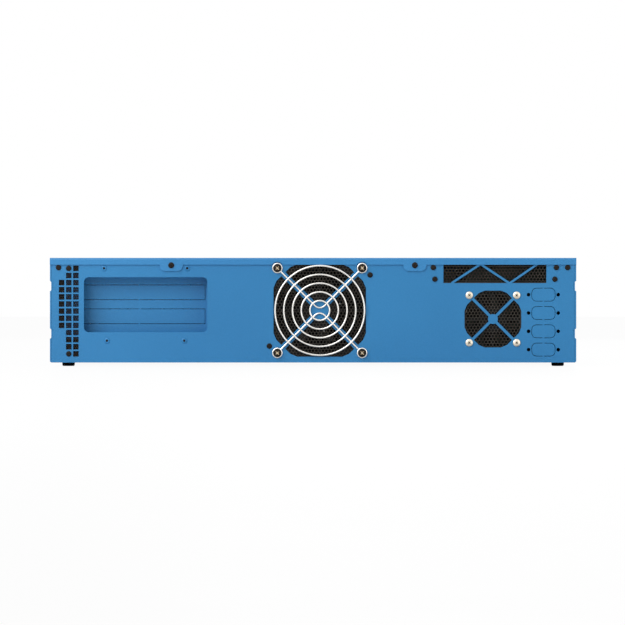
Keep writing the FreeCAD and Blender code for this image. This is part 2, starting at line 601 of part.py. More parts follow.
def perforated_sheet(label, y, across, height, holes=(), notch=("0", "0")):
    """A sheet full of hexagonal holes, clear of its border and screws, with a notch in its upper left corner."""
    (left, right), (low, high) = ([number(text) for text in span] for span in (across, height))
    screw_holes = [(Vector(number(u), 0, number(v)), number(radius)) for u, v, radius in holes]
    radius, pitch = number("mesh_hole / sqrt(3)"), number("mesh_hole + mesh_web")
    rise, rim = pitch * math.sqrt(0.75), number("mesh_web") + radius
    rows = math.floor((high - low - 2 * rim) / rise)
    columns = math.floor((right - left - 2 * rim - pitch / 2) / pitch)
    middle = Vector((left + right) / 2, 0, (low + high) / 2)
    cuts = [even_outline(centre, reach, SHANK, 0) for centre, reach in screw_holes]
    for row in range(rows + 1):
        for column in range(columns + 1):
            place = middle + Vector((column - columns / 2 + (row % 2 - 0.5) / 2) * pitch, 0, (row - rows / 2) * rise)
            if all((place - centre).Length - reach >= rim for centre, reach in screw_holes):
                cuts.append(even_outline(place, radius, 6, math.pi / 2))
    inner, under = left + number(notch[0]), high - number(notch[1])
    corners = [Vector(left, 0, low), Vector(right, 0, low), Vector(right, 0, high), Vector(inner, 0, high)]
    if inner > left:
        corners += [Vector(inner, 0, under), Vector(left, 0, under)]
    made = doc.addObject("Part::Feature", label)
    made.Label = label
    made.Shape = Part.Face([Part.makePolygon(corners + corners[:1])] + cuts).extrude(
        Vector(0, number("mesh_thickness"), 0))
    made.Placement = FreeCAD.Placement(Vector(0, number(y), 0), FreeCAD.Rotation())


def rear_sheets():
    """The black perforated sheets behind the openings and the square vents of the rear wall."""
    face = inward("steel")
    screw = "panel_screw_radius + screw_play"
    around_fan = [(u, v, "fan_screw_radius + screw_play") for u, v in fan_screw_places("main")]
    width = "2 * (sheet_screw_across + mesh_margin)"
    perforated_sheet(
        "main_fan_mesh", face, around("main_fan_x", width), [up(v) for v in around("main_fan_z", "main_fan_size")],
        around_fan + [(u, v, screw) for u, v in sheet_screw_places()])
    perforated_sheet(
        "small_fan_mesh", face, around("small_fan_x", "small_fan_size"),
        [up(v) for v in around("small_fan_z", "small_fan_size")],
        [(u, v, "small_screw_radius + screw_play") for u, v in fan_screw_places("small")])
    perforated_sheet(
        "upper_vent_mesh", face, around("vent_x", "vent_width + 2 * vent_sheet_margin"),
        (up("vent_z - clearance - panel_screw_radius"), f"{WALL_TOP} - steel - clearance"),
        [(u, v, screw) for u, v in vent_screw_places()])
    # The strip behind the square vents is too narrow for holes of this size, and clears the corner screw
    perforated_sheet("grid_mesh", face, *grid_sheet(), [(u, v, screw) for u, v in grid_screw_places()],
                     notch=("grid_pitch - 1", "2 * grid_pitch"))


def fan_frame(fan):
    """A square fan housing: round duct, motor plate on four arms, and a fixing hole in each corner."""
    frame = body(f"{fan}_fan_frame")
    size, depth, hub = f"{fan}_fan_size", f"{fan}_fan_depth", f"{fan}_fan_hub"
    bore = f"{size} / 2 - {fan}_fan_wall"
    housing = cornered(Drawing(), "0", "(0 - foot_height)", size, size, f"{fan}_fan_wall * 1.5")
    press(frame, housing, "y", ("0", depth))
    cylinder(frame, "y", ("0", "0"), ("0", depth), bore, cut=True, corners=WIDE)
    arm = "2 * fan_shaft"
    for x, z in ((size, arm), (arm, size)):
        block(frame, around("0", f"{x} - {fan}_fan_wall"), ("0", "motor_plate"),
              around("0", f"{z} - {fan}_fan_wall"))
    cylinder(frame, "y", ("0", "0"), ("0", "motor_plate"), hub, corners=KNOB)
    cylinder(frame, "y", ("0", "0"), ("0", "motor_plate"), "fan_shaft + shaft_play", cut=True)
    spacing = f"{fan}_fan_hole_spacing"
    hole = cylinder(frame, "y", (f"-{spacing} / 2", f"-{spacing} / 2"), ("0", depth),
                    f"{FANS[fan]} + screw_play", cut=True, corners=SHANK)
    repeat(frame, hole, ("x", 2, spacing), ("z", 2, spacing))
    bind(frame, Placement__Base__x=f"{fan}_fan_x", Placement__Base__y=MESH_BACK,
         Placement__Base__z=up(f"{fan}_fan_z"))


def blade(rotor, fan, root, tip, middle):
    """One pitched plate, narrow at the hub and swept forward to a wide tip, between two radii."""
    chord = f"{fan}_blade_chord"
    narrow, sweep = f"blade_root * {chord} / 2", f"blade_sweep * {chord}"
    outline = Drawing().polygon([
        (f"-{narrow}", root), (narrow, root), (f"{chord} / 2 + {sweep} * 0.4", f"({root} + {tip}) / 2"),
        (f"{chord} / 2 + {sweep}", tip), (f"-{chord} / 2 + {sweep}", tip),
        (f"-{chord} / 2 + {sweep} * 0.3", f"({root} + {tip}) / 2"),
    ])
    plate = press(rotor, outline, "y", ("-blade_thickness / 2", "blade_thickness / 2"))
    # The plate's outline lies in a plane that is turned about the blade's own radius
    sketch = plate.Profile[0]
    sketch.setExpression("AttachmentOffset.Base.z", None)
    sketch.AttachmentOffset = FreeCAD.Placement(Vector(), FreeCAD.Rotation(Vector(0, 1, 0), 0))
    bind(sketch, AttachmentOffset__Rotation__Angle="blade_pitch * 1 deg", AttachmentOffset__Base__z=f"-({middle})")
    plate.Midplane = True
    return plate


def fan_rotor(fan):
    """The hub with its shaft and seven pitched blades, which turn just inside the duct."""
    rotor = body(f"{fan}_fan_rotor")
    depth, chord = f"{fan}_fan_depth", f"{fan}_blade_chord"
    tip = f"({fan}_fan_size / 2 - {fan}_fan_wall - blade_gap)"
    middle = f"(motor_plate + blade_gap + ({depth} - motor_plate - 2 * blade_gap) / 2)"
    cylinder(rotor, "y", ("0", "0"), ("motor_plate + blade_gap", f"{depth} - blade_gap"), f"{fan}_fan_hub",
             corners=WIDE)
    cylinder(rotor, "y", ("0", "0"), ("blade_gap", "motor_plate + blade_gap"), "fan_shaft")
    root, half = f"{fan}_fan_hub * 0.8", f"(0.5 + blade_sweep) * {chord}"
    plate = blade(rotor, fan, root, f"sqrt({tip} * {tip} - {half} * {half})", middle)
    blades = rotor.newObject("PartDesign::PolarPattern", "Blades")
    blades.Originals = [plate]
    blades.Axis = (origin_feature(rotor, "Y_Axis"), [""])
    blades.Occurrences = 7
    rotor.Tip = blades
    bind(rotor, Placement__Base__x=f"{fan}_fan_x", Placement__Base__y=MESH_BACK,
         Placement__Base__z=up(f"{fan}_fan_z"))


def bent_wire(points, bend, section):
    """A wire along straight runs, with one bend of the given radius at each inner point."""
    edges, start = [], points[0]
    for before, corner, after in zip(points, points[1:], points[2:]):
        back_way, next_way = (before - corner).normalize(), (after - corner).normalize()
        half = back_way.getAngle(next_way) / 2
        reach = bend / math.tan(half)
        entry, leave = corner + back_way * reach, corner + next_way * reach
        middle = corner + (back_way + next_way).normalize() * (bend / math.sin(half) - bend)
        edges += [Part.LineSegment(start, entry).toShape(), Part.Arc(entry, middle, leave).toShape()]
        start = leave
    edges.append(Part.LineSegment(start, points[-1]).toShape())
    return Part.Wire(edges).makePipeShell([section], True, False)


def wire_section(centre, across, wire, corners=5):
    """The corner points of a wire's section, which lies along a direction and the Y axis."""
    turns = [2 * math.pi * (n + 0.5) / corners for n in range(corners)]
    return [centre + across * (wire * math.cos(turn)) + Vector(0, wire * math.sin(turn), 0) for turn in turns]


def wire_ring(centre, radius, wire):
    """A ring of wire about the Y axis, in straight pieces about as long as they are on a bent wire's curve."""
    sides = 4 * round(1.5 + math.sqrt(radius))
    ways = [Vector(math.cos(2 * math.pi * n / sides), 0, math.sin(2 * math.pi * n / sides)) for n in range(sides)]
    rows = [wire_section(centre + way * radius, way, wire) for way in ways]
    faces = []
    for row, after in zip(rows, rows[1:] + rows[:1]):
        for n, corner in enumerate(row):
            faces.append(Part.Face(Part.makePolygon([corner, after[n], after[n - 1], row[n - 1], corner])))
    return Part.Solid(Part.Shell(faces))


def fan_guard():
    """The finger guard: five welded rings on two bent wires, which end in eyes under the fan's screws."""
    wire, reach = number("guard_wire / 2"), number("main_fan_hole_spacing / 2")
    ring_y = -wire - number("guard_wire - guard_weld")
    rings = [wire_ring(Vector(0, ring_y, 0), number(f"guard_inner_ring + {n} * guard_ring_pitch"), wire)
             for n in range(5)]
    # Each wire stops inside its eyes, and bends round just short of the middle
    end, eye = reach - number("guard_eye") / math.sqrt(2), number("guard_eye")
    bent = []
    for way in (1, -1):
        points = [Vector(-end, -wire, way * end), Vector(0, -wire, 0), Vector(end, -wire, way * end)]
        across = Vector(1, 0, way).normalize()
        section = wire_section(points[0], across, wire)
        bent.append(bent_wire(points, number("guard_bend"), Part.makePolygon(section + section[:1])))
        bent += [wire_ring(Vector(side, -wire, way * reach), eye, wire) for side in (-reach, reach)]
    guard = doc.addObject("Part::Feature", "fan_guard")
    guard.Label = "fan_guard"
    guard.Shape = rings[0].fuse(rings[1:] + bent)
    place = [number(text) for text in ("main_fan_x", REAR, up("main_fan_z"))]
    guard.Placement = FreeCAD.Placement(Vector(*place), FreeCAD.Rotation())


def screws(label, places, seat, head_radius, head_height, radius, length):
    """Alike screws through the rear wall, with their heads on the outside."""
    group = body(label)
    for place in places:
        cylinder(group, "y", place, (f"{seat} - {head_height}", seat), head_radius, corners=HEAD)
        cylinder(group, "y", place, (seat, f"{seat} + {length}"), radius, corners=SHANK)
    return group


def rear_fasteners():
    """What is driven into the rear wall from outside: fan screws, plain screws and the bay's rivets."""
    screws("guard_screws", fan_screw_places("main"), f"({REAR} - guard_wire)", "guard_screw_head_radius",
           "guard_screw_head", "fan_screw_radius", "fan_screw_length + guard_wire")
    screws("small_fan_screws", fan_screw_places("small"), REAR, "small_screw_head_radius",
           "small_screw_head", "small_screw_radius", "small_screw_length")
    screws("rear_panel_screws", panel_screw_places(), REAR, "panel_screw_head", "panel_screw_head_height",
           "panel_screw_radius", "panel_screw_length")
    rivets = body("bay_rivets")
    for place in rivet_places():
        cylinder(rivets, "y", place, (f"{REAR} - rivet_head_height", REAR), "rivet_head", corners=HEAD)
        cylinder(rivets, "y", place, (REAR, inward("2 * steel")), "rivet_radius", corners=SHANK)
        cylinder(rivets, "y", place, (inward("2 * steel"), inward("3 * steel")), "rivet_tail", corners=SHANK)
        cylinder(rivets, "y", place, (f"{REAR} - rivet_head_height", inward("2 * steel")), "rivet_hole",
                 cut=True, corners=SHANK)


def rubber_feet():
    """Four round rubber feet under the corners."""
    feet = body("rubber_feet")
    for x in (f"-({SIDE} - foot_inset)", f"{SIDE} - foot_inset"):
        for y in (inward("foot_setback"), back("foot_setback")):
            cylinder(feet, "z", (x, y), ("0", "foot_height"), "foot_radius", corners=KNOB)


def top_cover():
    """The cover: a sheet with a rear lip, two screw tabs and inner side flanges. It lifts straight off."""
    cover = body("top_cover")
    lip = (f"({REAR} - lip_gap - steel)", f"({REAR} - lip_gap)")
    lip_low = up("body_height - lip_height")
    block(cover, (f"-{SIDE}", SIDE), (lip[0], FRONT), (UNDER_LID, LID))
    block(cover, (f"-{SIDE}", SIDE), lip, (lip_low, UNDER_LID))
    outer = number(lip[0]) + 0.01
    round_edges(cover, "bend_radius", lambda edge: runs_along(edge, "x") and edge.BoundBox.YMax < outer
                and edge.BoundBox.ZMin > number(LID) - 0.01)
    tabs = Drawing()
    for x in TABS:
        tabs.rounded(around(x, "tab_width"), (up("body_height - tab_drop"), UNDER_LID), "tab_corner")
    press(cover, tabs, "y", lip)
    # Room for the eyes of the fan guard, and the holes for the two screws
    for u, v in fan_screw_places("main")[1::2]:
        cylinder(cover, "y", (u, v), lip, "guard_relief", cut=True, corners=KNOB)
    for x in TABS:
        cylinder(cover, "y", (x, up("cover_screw_z")), lip, "cover_screw_radius + screw_play", cut=True)
    flange = f"({INSIDE} - bead_depth - clearance)"
    for near, far in ((f"-{flange}", f"-{flange} + steel"), (f"{flange} - steel", flange)):
        block(cover, (near, far), (inward("cover_flange_setback"), back("cover_flange_setback")),
              (f"{UNDER_LID} - cover_flange", UNDER_LID))


def cover_fasteners():
    """The cover's two black screws, and the nuts that they carry behind the rear wall."""
    seat = f"({REAR} - lip_gap - steel)"
    behind = inward("steel + clearance")
    length = f"{behind} + cover_nut_height - {seat} - screw_play"
    group = screws("cover_fasteners", [(x, up("cover_screw_z")) for x in TABS], seat,
                   "cover_screw_head", "cover_screw_head_height", "cover_screw_radius", length)
    for x in TABS:
        cylinder(group, "y", (x, up("cover_screw_z")), (behind, f"{behind} + cover_nut_height"),
                 "cover_nut_radius", corners=SHANK)


def tray_span(tray):
    """From left to right, where a drive tray's front lies."""
    return around(f"bay_x + ({tray} - 0.5) * tray_pitch", "tray_width")


def supply_low(supply):
    return up(f"psu_z + {supply} * psu_pitch")


def card_vent():
    """From left to right and from low to high, where the intake vent under the card lies."""
    return (around("card_edge_x - card_width / 2", "card_vent_width"),
            (up("card_vent_z"), up("card_vent_z + card_vent_height")))


def widened(span, margin):
    return f"{span[0]} - ({margin})", f"{span[1]} + ({margin})"


def front_panel():
    """The front wall, with openings for the supplies, trays, sockets, card, vents, switches and lights."""
    through = (back("steel"), FRONT)
    wall = flanged_wall("front_panel", FRONT, back("steel"), back("wall_flange"))
    openings = Drawing()
    openings.rectangle(
        widened(around("psu_x", "psu_width"), "psu_play"),
        (f"{supply_low(0)} - psu_play / 2", f"{supply_low(1)} + psu_height + psu_play"))
    for tray in TRAYS:
        openings.rectangle(widened(tray_span(tray), "tray_play"),
                           (up("tray_z - tray_play"), up("tray_z + tray_height + tray_play")))
    openings.rectangle(around("shield_x", "shield_width"), (up("shield_z"), up("shield_z + shield_height")))
    openings.rectangle(around("card_edge_x - card_width / 2", "card_width - 2 * window_margin"),
                       (up("bracket_low + window_margin"), up("bracket_high - window_margin")))
    openings.rectangle(*card_vent())
    press(wall, openings, "y", through, cut=True)
    for radius, height in (("power_radius", "power_z"), ("reset_radius", "reset_z")):
        cylinder(wall, "y", ("control_x", up(height)), through, f"{radius} + clearance", cut=True, corners=KNOB)
    light = cylinder(wall, "y", ("control_x - light_pitch", up("light_z")), through,
                     "light_radius + screw_play", cut=True, corners=HEAD)
    repeat(wall, light, ("x", 3, "light_pitch"))


def intake_mesh():
    """The perforated sheet behind the front wall's intake vent."""
    across, height = (widened(span, "window_margin / 2") for span in card_vent())
    perforated_sheet("intake_mesh", back("steel + mesh_thickness"), across, height)


def board_span():
    return around("board_x", "board_width"), (back("board_setback + board_length"), back("board_setback"))


def mainboard():
    """The main board on its posts, with the socket, memory and card slot that stand on it."""
    board = body("mainboard")
    across, along = board_span()
    block(board, across, along, (up("steel + standoff_height"), BOARD_TOP))
    posts = body("board_standoffs")
    for x in (f"{across[0]} + standoff_inset", "board_x", f"{across[1]} - standoff_inset"):
        for y in (f"{along[0]} + standoff_inset", f"{along[1]} - 2 * standoff_inset"):
            cylinder(posts, "z", (x, y), (FLOOR, up("steel + standoff_height")), "standoff_radius", corners=SHANK)
    socket = body("cpu_socket")
    middle = back("socket_setback")
    block(socket, around("socket_x", "socket_size"), around(middle, "socket_size"),
          (BOARD_TOP, f"{BOARD_TOP} + socket_height"))
    block(socket, around("socket_x", "socket_size * 0.7"), around(middle, "socket_size * 0.7"),
          (f"{BOARD_TOP} + socket_height * 0.7", f"{BOARD_TOP} + socket_height"), cut=True)
    block(socket, around("socket_x", "socket_size * 0.66"), around(middle, "socket_size * 0.66"),
          (f"{BOARD_TOP} + socket_height * 0.7", f"{BOARD_TOP} + socket_height"))


def finned(label, across, along, low, base, high, pitch):
    """An aluminium cooler with fins along the air flow, cut from one block."""
    cooler = body(label)
    block(cooler, across, along, (low, high))
    width = number(f"({across[1]}) - ({across[0]})")
    count = int((width - number("fin_thickness")) / number(pitch))
    rest = f"(({across[1]}) - ({across[0]}) - {count} * {pitch} + {pitch} - fin_thickness) / 2"
    gap = block(cooler, (f"{across[0]} + {rest} - {pitch} / 2 + fin_thickness",
                         f"{across[0]} + {rest} + {pitch} / 2"), along, (f"{low} + {base}", high), cut=True)
    repeat(cooler, gap, ("x", count, pitch))


def heatsink_span():
    return around("socket_x", "heatsink_width"), around(back("socket_setback"), "heatsink_length")


def processor_cooler():
    low = f"{BOARD_TOP} + socket_height"
    finned("cpu_heatsink", *heatsink_span(), low, "heatsink_base", f"{low} + heatsink_height", "fin_pitch")


def memory():
    """Four memory slots beside the processor, with a module in each."""
    along = (back("memory_setback + memory_length"), back("memory_setback"))
    slots = body("memory_slots")
    slot = block(slots, around("memory_x", "memory_width"), along,
                 (BOARD_TOP, f"{BOARD_TOP} + memory_slot_height"))
    repeat(slots, slot, ("x", 4, "memory_pitch"))
    low = f"{BOARD_TOP} + memory_slot_height / 2"
    room = block(slots, around("memory_x", "memory_module_thickness + 2 * screw_play"),
                 (f"{along[0]} + memory_width", f"{along[1]} - memory_width"),
                 (low, f"{BOARD_TOP} + memory_slot_height"), cut=True)
    repeat(slots, room, ("x", 4, "memory_pitch"))
    modules = body("memory_modules")
    module = block(modules, around("memory_x", "memory_module_thickness"),
                   (f"{along[0]} + memory_width + screw_play", f"{along[1]} - memory_width - screw_play"),
                   (low, f"{low} + memory_module_height"))
    repeat(modules, module, ("x", 4, "memory_pitch"))


def mouth(owner, x, z, width, height, depth):
    """The hollow of a socket, open to the front."""
    return block(owner, around(x, width), (back(depth), FRONT), around(z, height), cut=True)


def sockets():
    """The shield and the sockets that stand in it: network, serial bus and video."""
    network_z, usb_z = f"{BOARD_TOP} + network_height / 2", f"{BOARD_TOP} + usb_height / 2"
    video_z = f"{BOARD_TOP} + video_height / 2"
    network_places = [f"network_x + {n} * network_pitch" for n in (0, 1)]
    usb_places = [f"usb_x + {n} * usb_pitch" for n in (0, 1)]
    network = body("network_ports")
    for x in network_places:
        block(network, around(x, "network_width"), (back("network_depth"), FRONT),
              around(network_z, "network_height"))
        mouth(network, x, network_z, "network_mouth_width", "network_mouth_height", "network_mouth_depth")
    usb = body("usb_ports")
    for x in usb_places:
        block(usb, around(x, "usb_width"), (back("usb_depth"), FRONT), around(usb_z, "usb_height"))
        for level in around(usb_z, "usb_height / 2"):
            mouth(usb, x, level, "usb_mouth_width", "usb_mouth_height", "usb_depth * 0.7")
            low, high = around(level, "usb_mouth_height")
            block(usb, around(x, "usb_mouth_width * 0.9"), (back("usb_depth * 0.7"), back("1")),
                  (f"{high} - usb_tongue - 0.5", f"{high} - 0.5"))
    video = body("video_port")
    block(video, around("video_x", "video_width"), (back("video_depth"), back("2 * steel")),
          around(video_z, "video_height"))
    press(video, Drawing().rounded(around("video_x", "video_shell"), around(video_z, "video_height * 0.68"),
                                   "video_height * 0.2"), "y", (back("2 * steel"), f"{FRONT} + 3 * steel"))
    shield = body("io_shield")
    across, height = around("shield_x", "shield_width - 2 * seam"), (up("shield_z + seam"),
                                                                  up("shield_z + shield_height - seam"))
    face = (back("steel"), back("steel - mesh_thickness / 2"))
    block(shield, across, face, height)
    cuts = Drawing()
    for x in network_places:
        cuts.rectangle(widened(around(x, "network_width"), "seam"),
                       widened(around(network_z, "network_height"), "seam"))
    for x in usb_places:
        cuts.rectangle(widened(around(x, "usb_width"), "seam"), widened(around(usb_z, "usb_height"), "seam"))
    cuts.rounded(widened(around("video_x", "video_shell"), "seam"),
                 widened(around(video_z, "video_height * 0.68"), "seam"), "video_height * 0.2")
    press(shield, cuts, "y", face, cut=True)


def card_span():
    return ("(card_edge_x - card_width)", "card_edge_x"), (back("card_setback + card_length"),
                                                        back("card_setback"))


def graphics_card():
    """The graphics card, which lies flat at the front: board, cooler, shroud and two-slot bracket."""
    (left, right), along = card_span()
    low = up("card_z")
    high = f"({low} + card_thickness)"
    middle = back("riser_setback + riser_length / 2")
    card = body("gpu_board")
    block(card, (left, right), along, (low, high))
    block(card, (right, f"{right} + card_tongue"), around(middle, "connector_length - 4"), (low, high))
    cooler_across = (f"{left} + 2 * shroud_thickness", f"{right} - 2 * shroud_thickness - clearance")
    cooler_along = (f"{along[1]} - cooler_length", f"{along[1]} - 2 * clearance")
    finned("gpu_heatsink", cooler_across, cooler_along, high, "cooler_base", f"{high} + cooler_height",
           "cooler_fin_pitch")
    shroud = body("gpu_shroud")
    over = (f"{cooler_across[0]} - shroud_thickness - screw_play",
            f"{cooler_across[1]} + shroud_thickness + screw_play")
    block(shroud, over, cooler_along, (high, f"{high} + cooler_height + shroud_thickness + screw_play"))
    block(shroud, widened(over, "-shroud_thickness"), cooler_along,
          (high, f"{high} + cooler_height + screw_play"), cut=True)
    bracket = body("gpu_bracket")
    face = (back("steel + bracket_thickness"), back("steel"))
    block(bracket, (left, right), face, (up("bracket_low"), up("bracket_high")))
    slot = block(bracket, (f"{left} + 10", f"{left} + 10 + bracket_slot"), face,
                 (f"{high} + cooler_base", f"{high} + cooler_height"), cut=True)
    repeat(bracket, slot, ("x", 11, "bracket_slot_pitch"))
    for x in (f"{left} + 4", f"{right} - 14"):
        block(bracket, (x, f"{x} + 10"), (back("card_setback + 8"), back("steel")),
              (f"{low} - bracket_thickness", low))


def risers():
    """The riser that carries the card, the slot that it stands in, and the spare riser at the rear."""
    middle = back("riser_setback + riser_length / 2")
    face = "(card_edge_x + connector_reach - 2)"
    board = (face, f"{face} + riser_thickness")
    slot = body("gpu_slot")
    block(slot, around(f"{face} + riser_thickness / 2", "memory_width"), around(middle, "riser_length"),
          (BOARD_TOP, f"{BOARD_TOP} + connector_reach"))
    block(slot, widened(board, "screw_play"), around(middle, "riser_length - 4"),
          (f"{BOARD_TOP} + connector_reach / 2", f"{BOARD_TOP} + connector_reach"), cut=True)
    riser = body("gpu_riser")
    block(riser, board, around(middle, "riser_length - 5"),
          (f"{BOARD_TOP} + connector_reach / 2", up("riser_top")))
    card_middle = up("card_z + card_thickness / 2")
    block(riser, (f"{face} - connector_reach + 3", face), around(middle, "connector_length"),
          around(card_middle, "connector_height"))
    block(riser, (f"{face} - connector_reach + 3", f"{face} - 1"), around(middle, "connector_length - 3"),
          around(card_middle, "card_thickness + 2 * screw_play"), cut=True)
    bracket = body("riser_bracket")
    start = inward("2 * steel + recess_depth + clearance")
    along = (start, f"{start} + rear_riser_length")
    block(bracket, ("rear_riser_x", "rear_riser_x + steel"), along, (FLOOR, up("rear_riser_top")))
    block(bracket, ("rear_riser_x + steel", "rear_riser_x + riser_bracket_foot"), along,
          (FLOOR, f"{FLOOR} + steel"))
    spare = body("rear_riser")
    block(spare, ("rear_riser_x - riser_thickness", "rear_riser_x"), (f"{along[0]} + 6", f"{along[1]} - 4"),
          (f"{FLOOR} + 6", up("rear_riser_top - 2")))
    edge = "(rear_riser_x - riser_thickness)"
    for row in (0, 1):
        z = up(f"slot_z + {row} * slot_pitch")
        block(spare, (f"{edge} - connector_reach", edge), (f"{along[0]} + 12", f"{along[0]} + 12 + connector_length"),
              around(z, "connector_height"))
        block(spare, (f"{edge} - connector_reach", f"{edge} - 3"),
              (f"{along[0]} + 14", f"{along[0]} + 10 + connector_length"),
              around(z, "card_thickness + 2 * screw_play"), cut=True)


def air_duct():
    """A plastic hood that takes the air from the processor's cooler to the main fan."""
    duct = body("air_duct")
    (left, right), along = heatsink_span()
    near = f"({MESH_BACK} + main_fan_depth + clearance)"
    far = f"({along[0]} - clearance)"
    outer = around("main_fan_x", "main_fan_size")
    top = up("main_fan_z + main_fan_size / 2")
    block(duct, outer, (near, far), (f"{FLOOR} + clearance", top))
    block(duct, widened(outer, "-duct_wall"), (near, far), (f"{FLOOR} + clearance", f"{top} - duct_wall"),
          cut=True)
    # The far end straddles the main board
    across, board_along = board_span()
    block(duct, outer, (f"{board_along[0]} - clearance", far), (f"{FLOOR} + clearance", f"{BOARD_TOP} + clearance"),
          cut=True)


def power_supplies():
    """Two plug-in supplies, one above the other, each with an inlet, a handle and a thumb latch."""
    left, right = around("psu_x", "psu_width")
    face = FRONT
    for supply in SUPPLIES:
        low = supply_low(supply)
        high, middle = f"({low} + psu_height)", f"({low} + psu_height / 2)"
        housing = body(f"psu_housing_{supply + 1}")
        block(housing, (left, right), (back("psu_length"), face), (low, high))
        block(housing, around("psu_x", "psu_width * 0.7"), (back("psu_length + psu_edge"), back("psu_length")),
              around(middle, "board_thickness"))
        x = "(psu_x + inlet_offset)"
        mouth(housing, x, middle, "inlet_width", "inlet_height", "inlet_depth")
        pins = [(f"{x} - inlet_pin_spacing / 2", "0"), (f"{x} + inlet_pin_spacing / 2", "0"),
                (x, "inlet_pin_rise")]
        for u, rise in pins:
            block(housing, around(u, "inlet_pin_thickness"),
                  (back("inlet_depth"), back("inlet_depth - inlet_pin_length")),
                  around(f"{middle} + {rise}", "inlet_pin_height"))
        grille = block(housing, around("psu_x - 22", "psu_grille_slot"), (back("psu_grille_depth"), face),
                       around(middle, "psu_grille_height"), cut=True)
        repeat(housing, grille, ("x", 6, "psu_grille_pitch"))
        latch_x = "(psu_x + latch_offset)"
        stem = (f"{latch_x} - latch_width / 2", f"{latch_x} + latch_width / 2")
        block(housing, (f"{stem[0]} - latch_travel - clearance", f"{stem[1]} + clearance"),
              (back("latch_depth"), face), around(middle, "latch_height * 0.6 + 2 * clearance"), cut=True)
        latch = body(f"psu_latch_{supply + 1}")
        block(latch, stem, (back("latch_depth - clearance"), f"{face} + clearance"),
              around(middle, "latch_height * 0.6"))
        block(latch, (stem[0], f"{stem[1]} + latch_width / 2"), (f"{face} + clearance", f"{face} + latch_reach"),
              around(middle, "latch_height"))
        handle = body(f"psu_handle_{supply + 1}")
        grip = f"({face} + psu_handle_reach - psu_handle_rod)"
        handle_x = "(psu_x - psu_handle_offset)"
        for z in around(middle, "psu_handle_span"):
            cylinder(handle, "y", (handle_x, z), (face, grip), "psu_handle_rod", corners=HEAD)
        cylinder(handle, "z", (handle_x, grip), widened(around(middle, "psu_handle_span"), "psu_handle_rod"),
                 "psu_handle_rod", corners=HEAD)
    cage = body("psu_cage")
    steel = "psu_cage_steel"
    outer = widened((left, right), f"psu_play + {steel}")
    depth = (back("psu_length"), back("steel"))
    for near, far in ((outer[0], f"{outer[0]} + {steel}"), (f"{outer[1]} - {steel}", outer[1])):
        block(cage, (near, far), depth, (f"{FLOOR} + steel", f"{supply_low(1)} + psu_height"))
    shelf = f"({supply_low(0)} + psu_height + psu_play / 2)"
    block(cage, outer, depth, (shelf, f"{shelf} + {steel}"))
    board = body("power_board")
    rear = back("psu_length + psu_edge + power_board_gap")
    block(board, (left, right), (f"{rear} - board_thickness", rear), (FLOOR, f"{supply_low(1)} + psu_height"))
    for supply in SUPPLIES:
        middle = f"({supply_low(supply)} + psu_height / 2)"
        block(board, around("psu_x", "psu_width * 0.8"), (rear, back("psu_length + clearance")),
              around(middle, "connector_height"))
        block(board, around("psu_x", "psu_width * 0.7 + 2 * clearance"),
              (back("psu_length + psu_edge + clearance"), back("psu_length + clearance")),
              around(middle, "board_thickness + 2 * clearance"), cut=True)


def drives():
    """Two drive trays in a cage behind the front wall, each with a drive and a release lever."""
    steel = "cage_steel"
    low, high = up("tray_z - tray_play"), up("tray_z + tray_height + tray_play")
    cage = body("drive_cage")
    cage_along = (back("tray_length + steel"), back("steel"))
    outer = (f"bay_x - tray_pitch - {steel} / 2", f"bay_x + tray_pitch + {steel} / 2")
    block(cage, outer, cage_along, (f"{low} - {steel}", f"{high} + {steel}"))
    bay = block(cage, (f"{outer[0]} + {steel}", f"{outer[0]} + tray_pitch"), cage_along, (low, high), cut=True)
    repeat(cage, bay, ("x", 2, "tray_pitch"))
    plane = body("drive_backplane")
    rear = back("tray_length + steel")
    block(plane, outer, (f"{rear} - backplane_thickness", rear), (f"{low} - {steel}", f"{high} + {steel}"))
    for tray in TRAYS:
        left, right = tray_span(tray)
        middle = f"bay_x + ({tray} - 0.5) * tray_pitch"
        base, top = up("tray_z"), up("tray_z + tray_height")
        centre = f"({base} + tray_height / 2)"
        made = body(f"drive_tray_{tray + 1}")
        block(made, (left, right), (back("tray_bezel"), FRONT), (base, top))
        for near, far in ((left, f"{left} + tray_rail"), (f"{right} - tray_rail", right)):
            block(made, (near, far), (back("tray_length - 2 * steel"), back("tray_bezel")),
                  (base, f"{base} + tray_height * 0.7"))
        # Cooling slots through the bezel, then the pocket for the lever, which its pin crosses
        slot = block(made, (f"{left} + 8", f"{left} + 8 + tray_slot"), (back("tray_bezel"), FRONT),
                     (f"{base} + 2", f"{base} + 5"), cut=True)
        repeat(made, slot, ("x", 6, "11"), ("z", 2, "tray_height - 7"))
        pivot_x, pivot_y = f"({middle} - lever_length / 2)", back("lever_thickness / 2 + clearance")
        pocket = (f"{pivot_x} - lever_thickness / 2 - clearance",
                  f"{pivot_x} + lever_length + lever_thickness + clearance")
        height = widened(around(centre, "lever_height"), "clearance")
        block(made, pocket, (back("lever_thickness + 2 * clearance"), FRONT), height, cut=True)
        cylinder(made, "z", (pivot_x, pivot_y), height, "lever_pin")
        lever = body(f"tray_lever_{tray + 1}")
        span = around(centre, "lever_height")
        cylinder(lever, "z", (pivot_x, pivot_y), span, "lever_thickness / 2")
        block(lever, (pivot_x, f"{pivot_x} + lever_length"), around(pivot_y, "lever_thickness"), span)
        cylinder(lever, "z", (pivot_x, pivot_y), span, "lever_pin + shaft_play", cut=True)
        drive = body(f"drive_{tray + 1}")
        shelf = f"({base} + tray_rail / 2)"
        block(drive, around(middle, "drive_width"), (back("tray_bezel + clearance + drive_length"),
              back("tray_bezel + clearance")), (shelf, f"{shelf} + drive_height"))


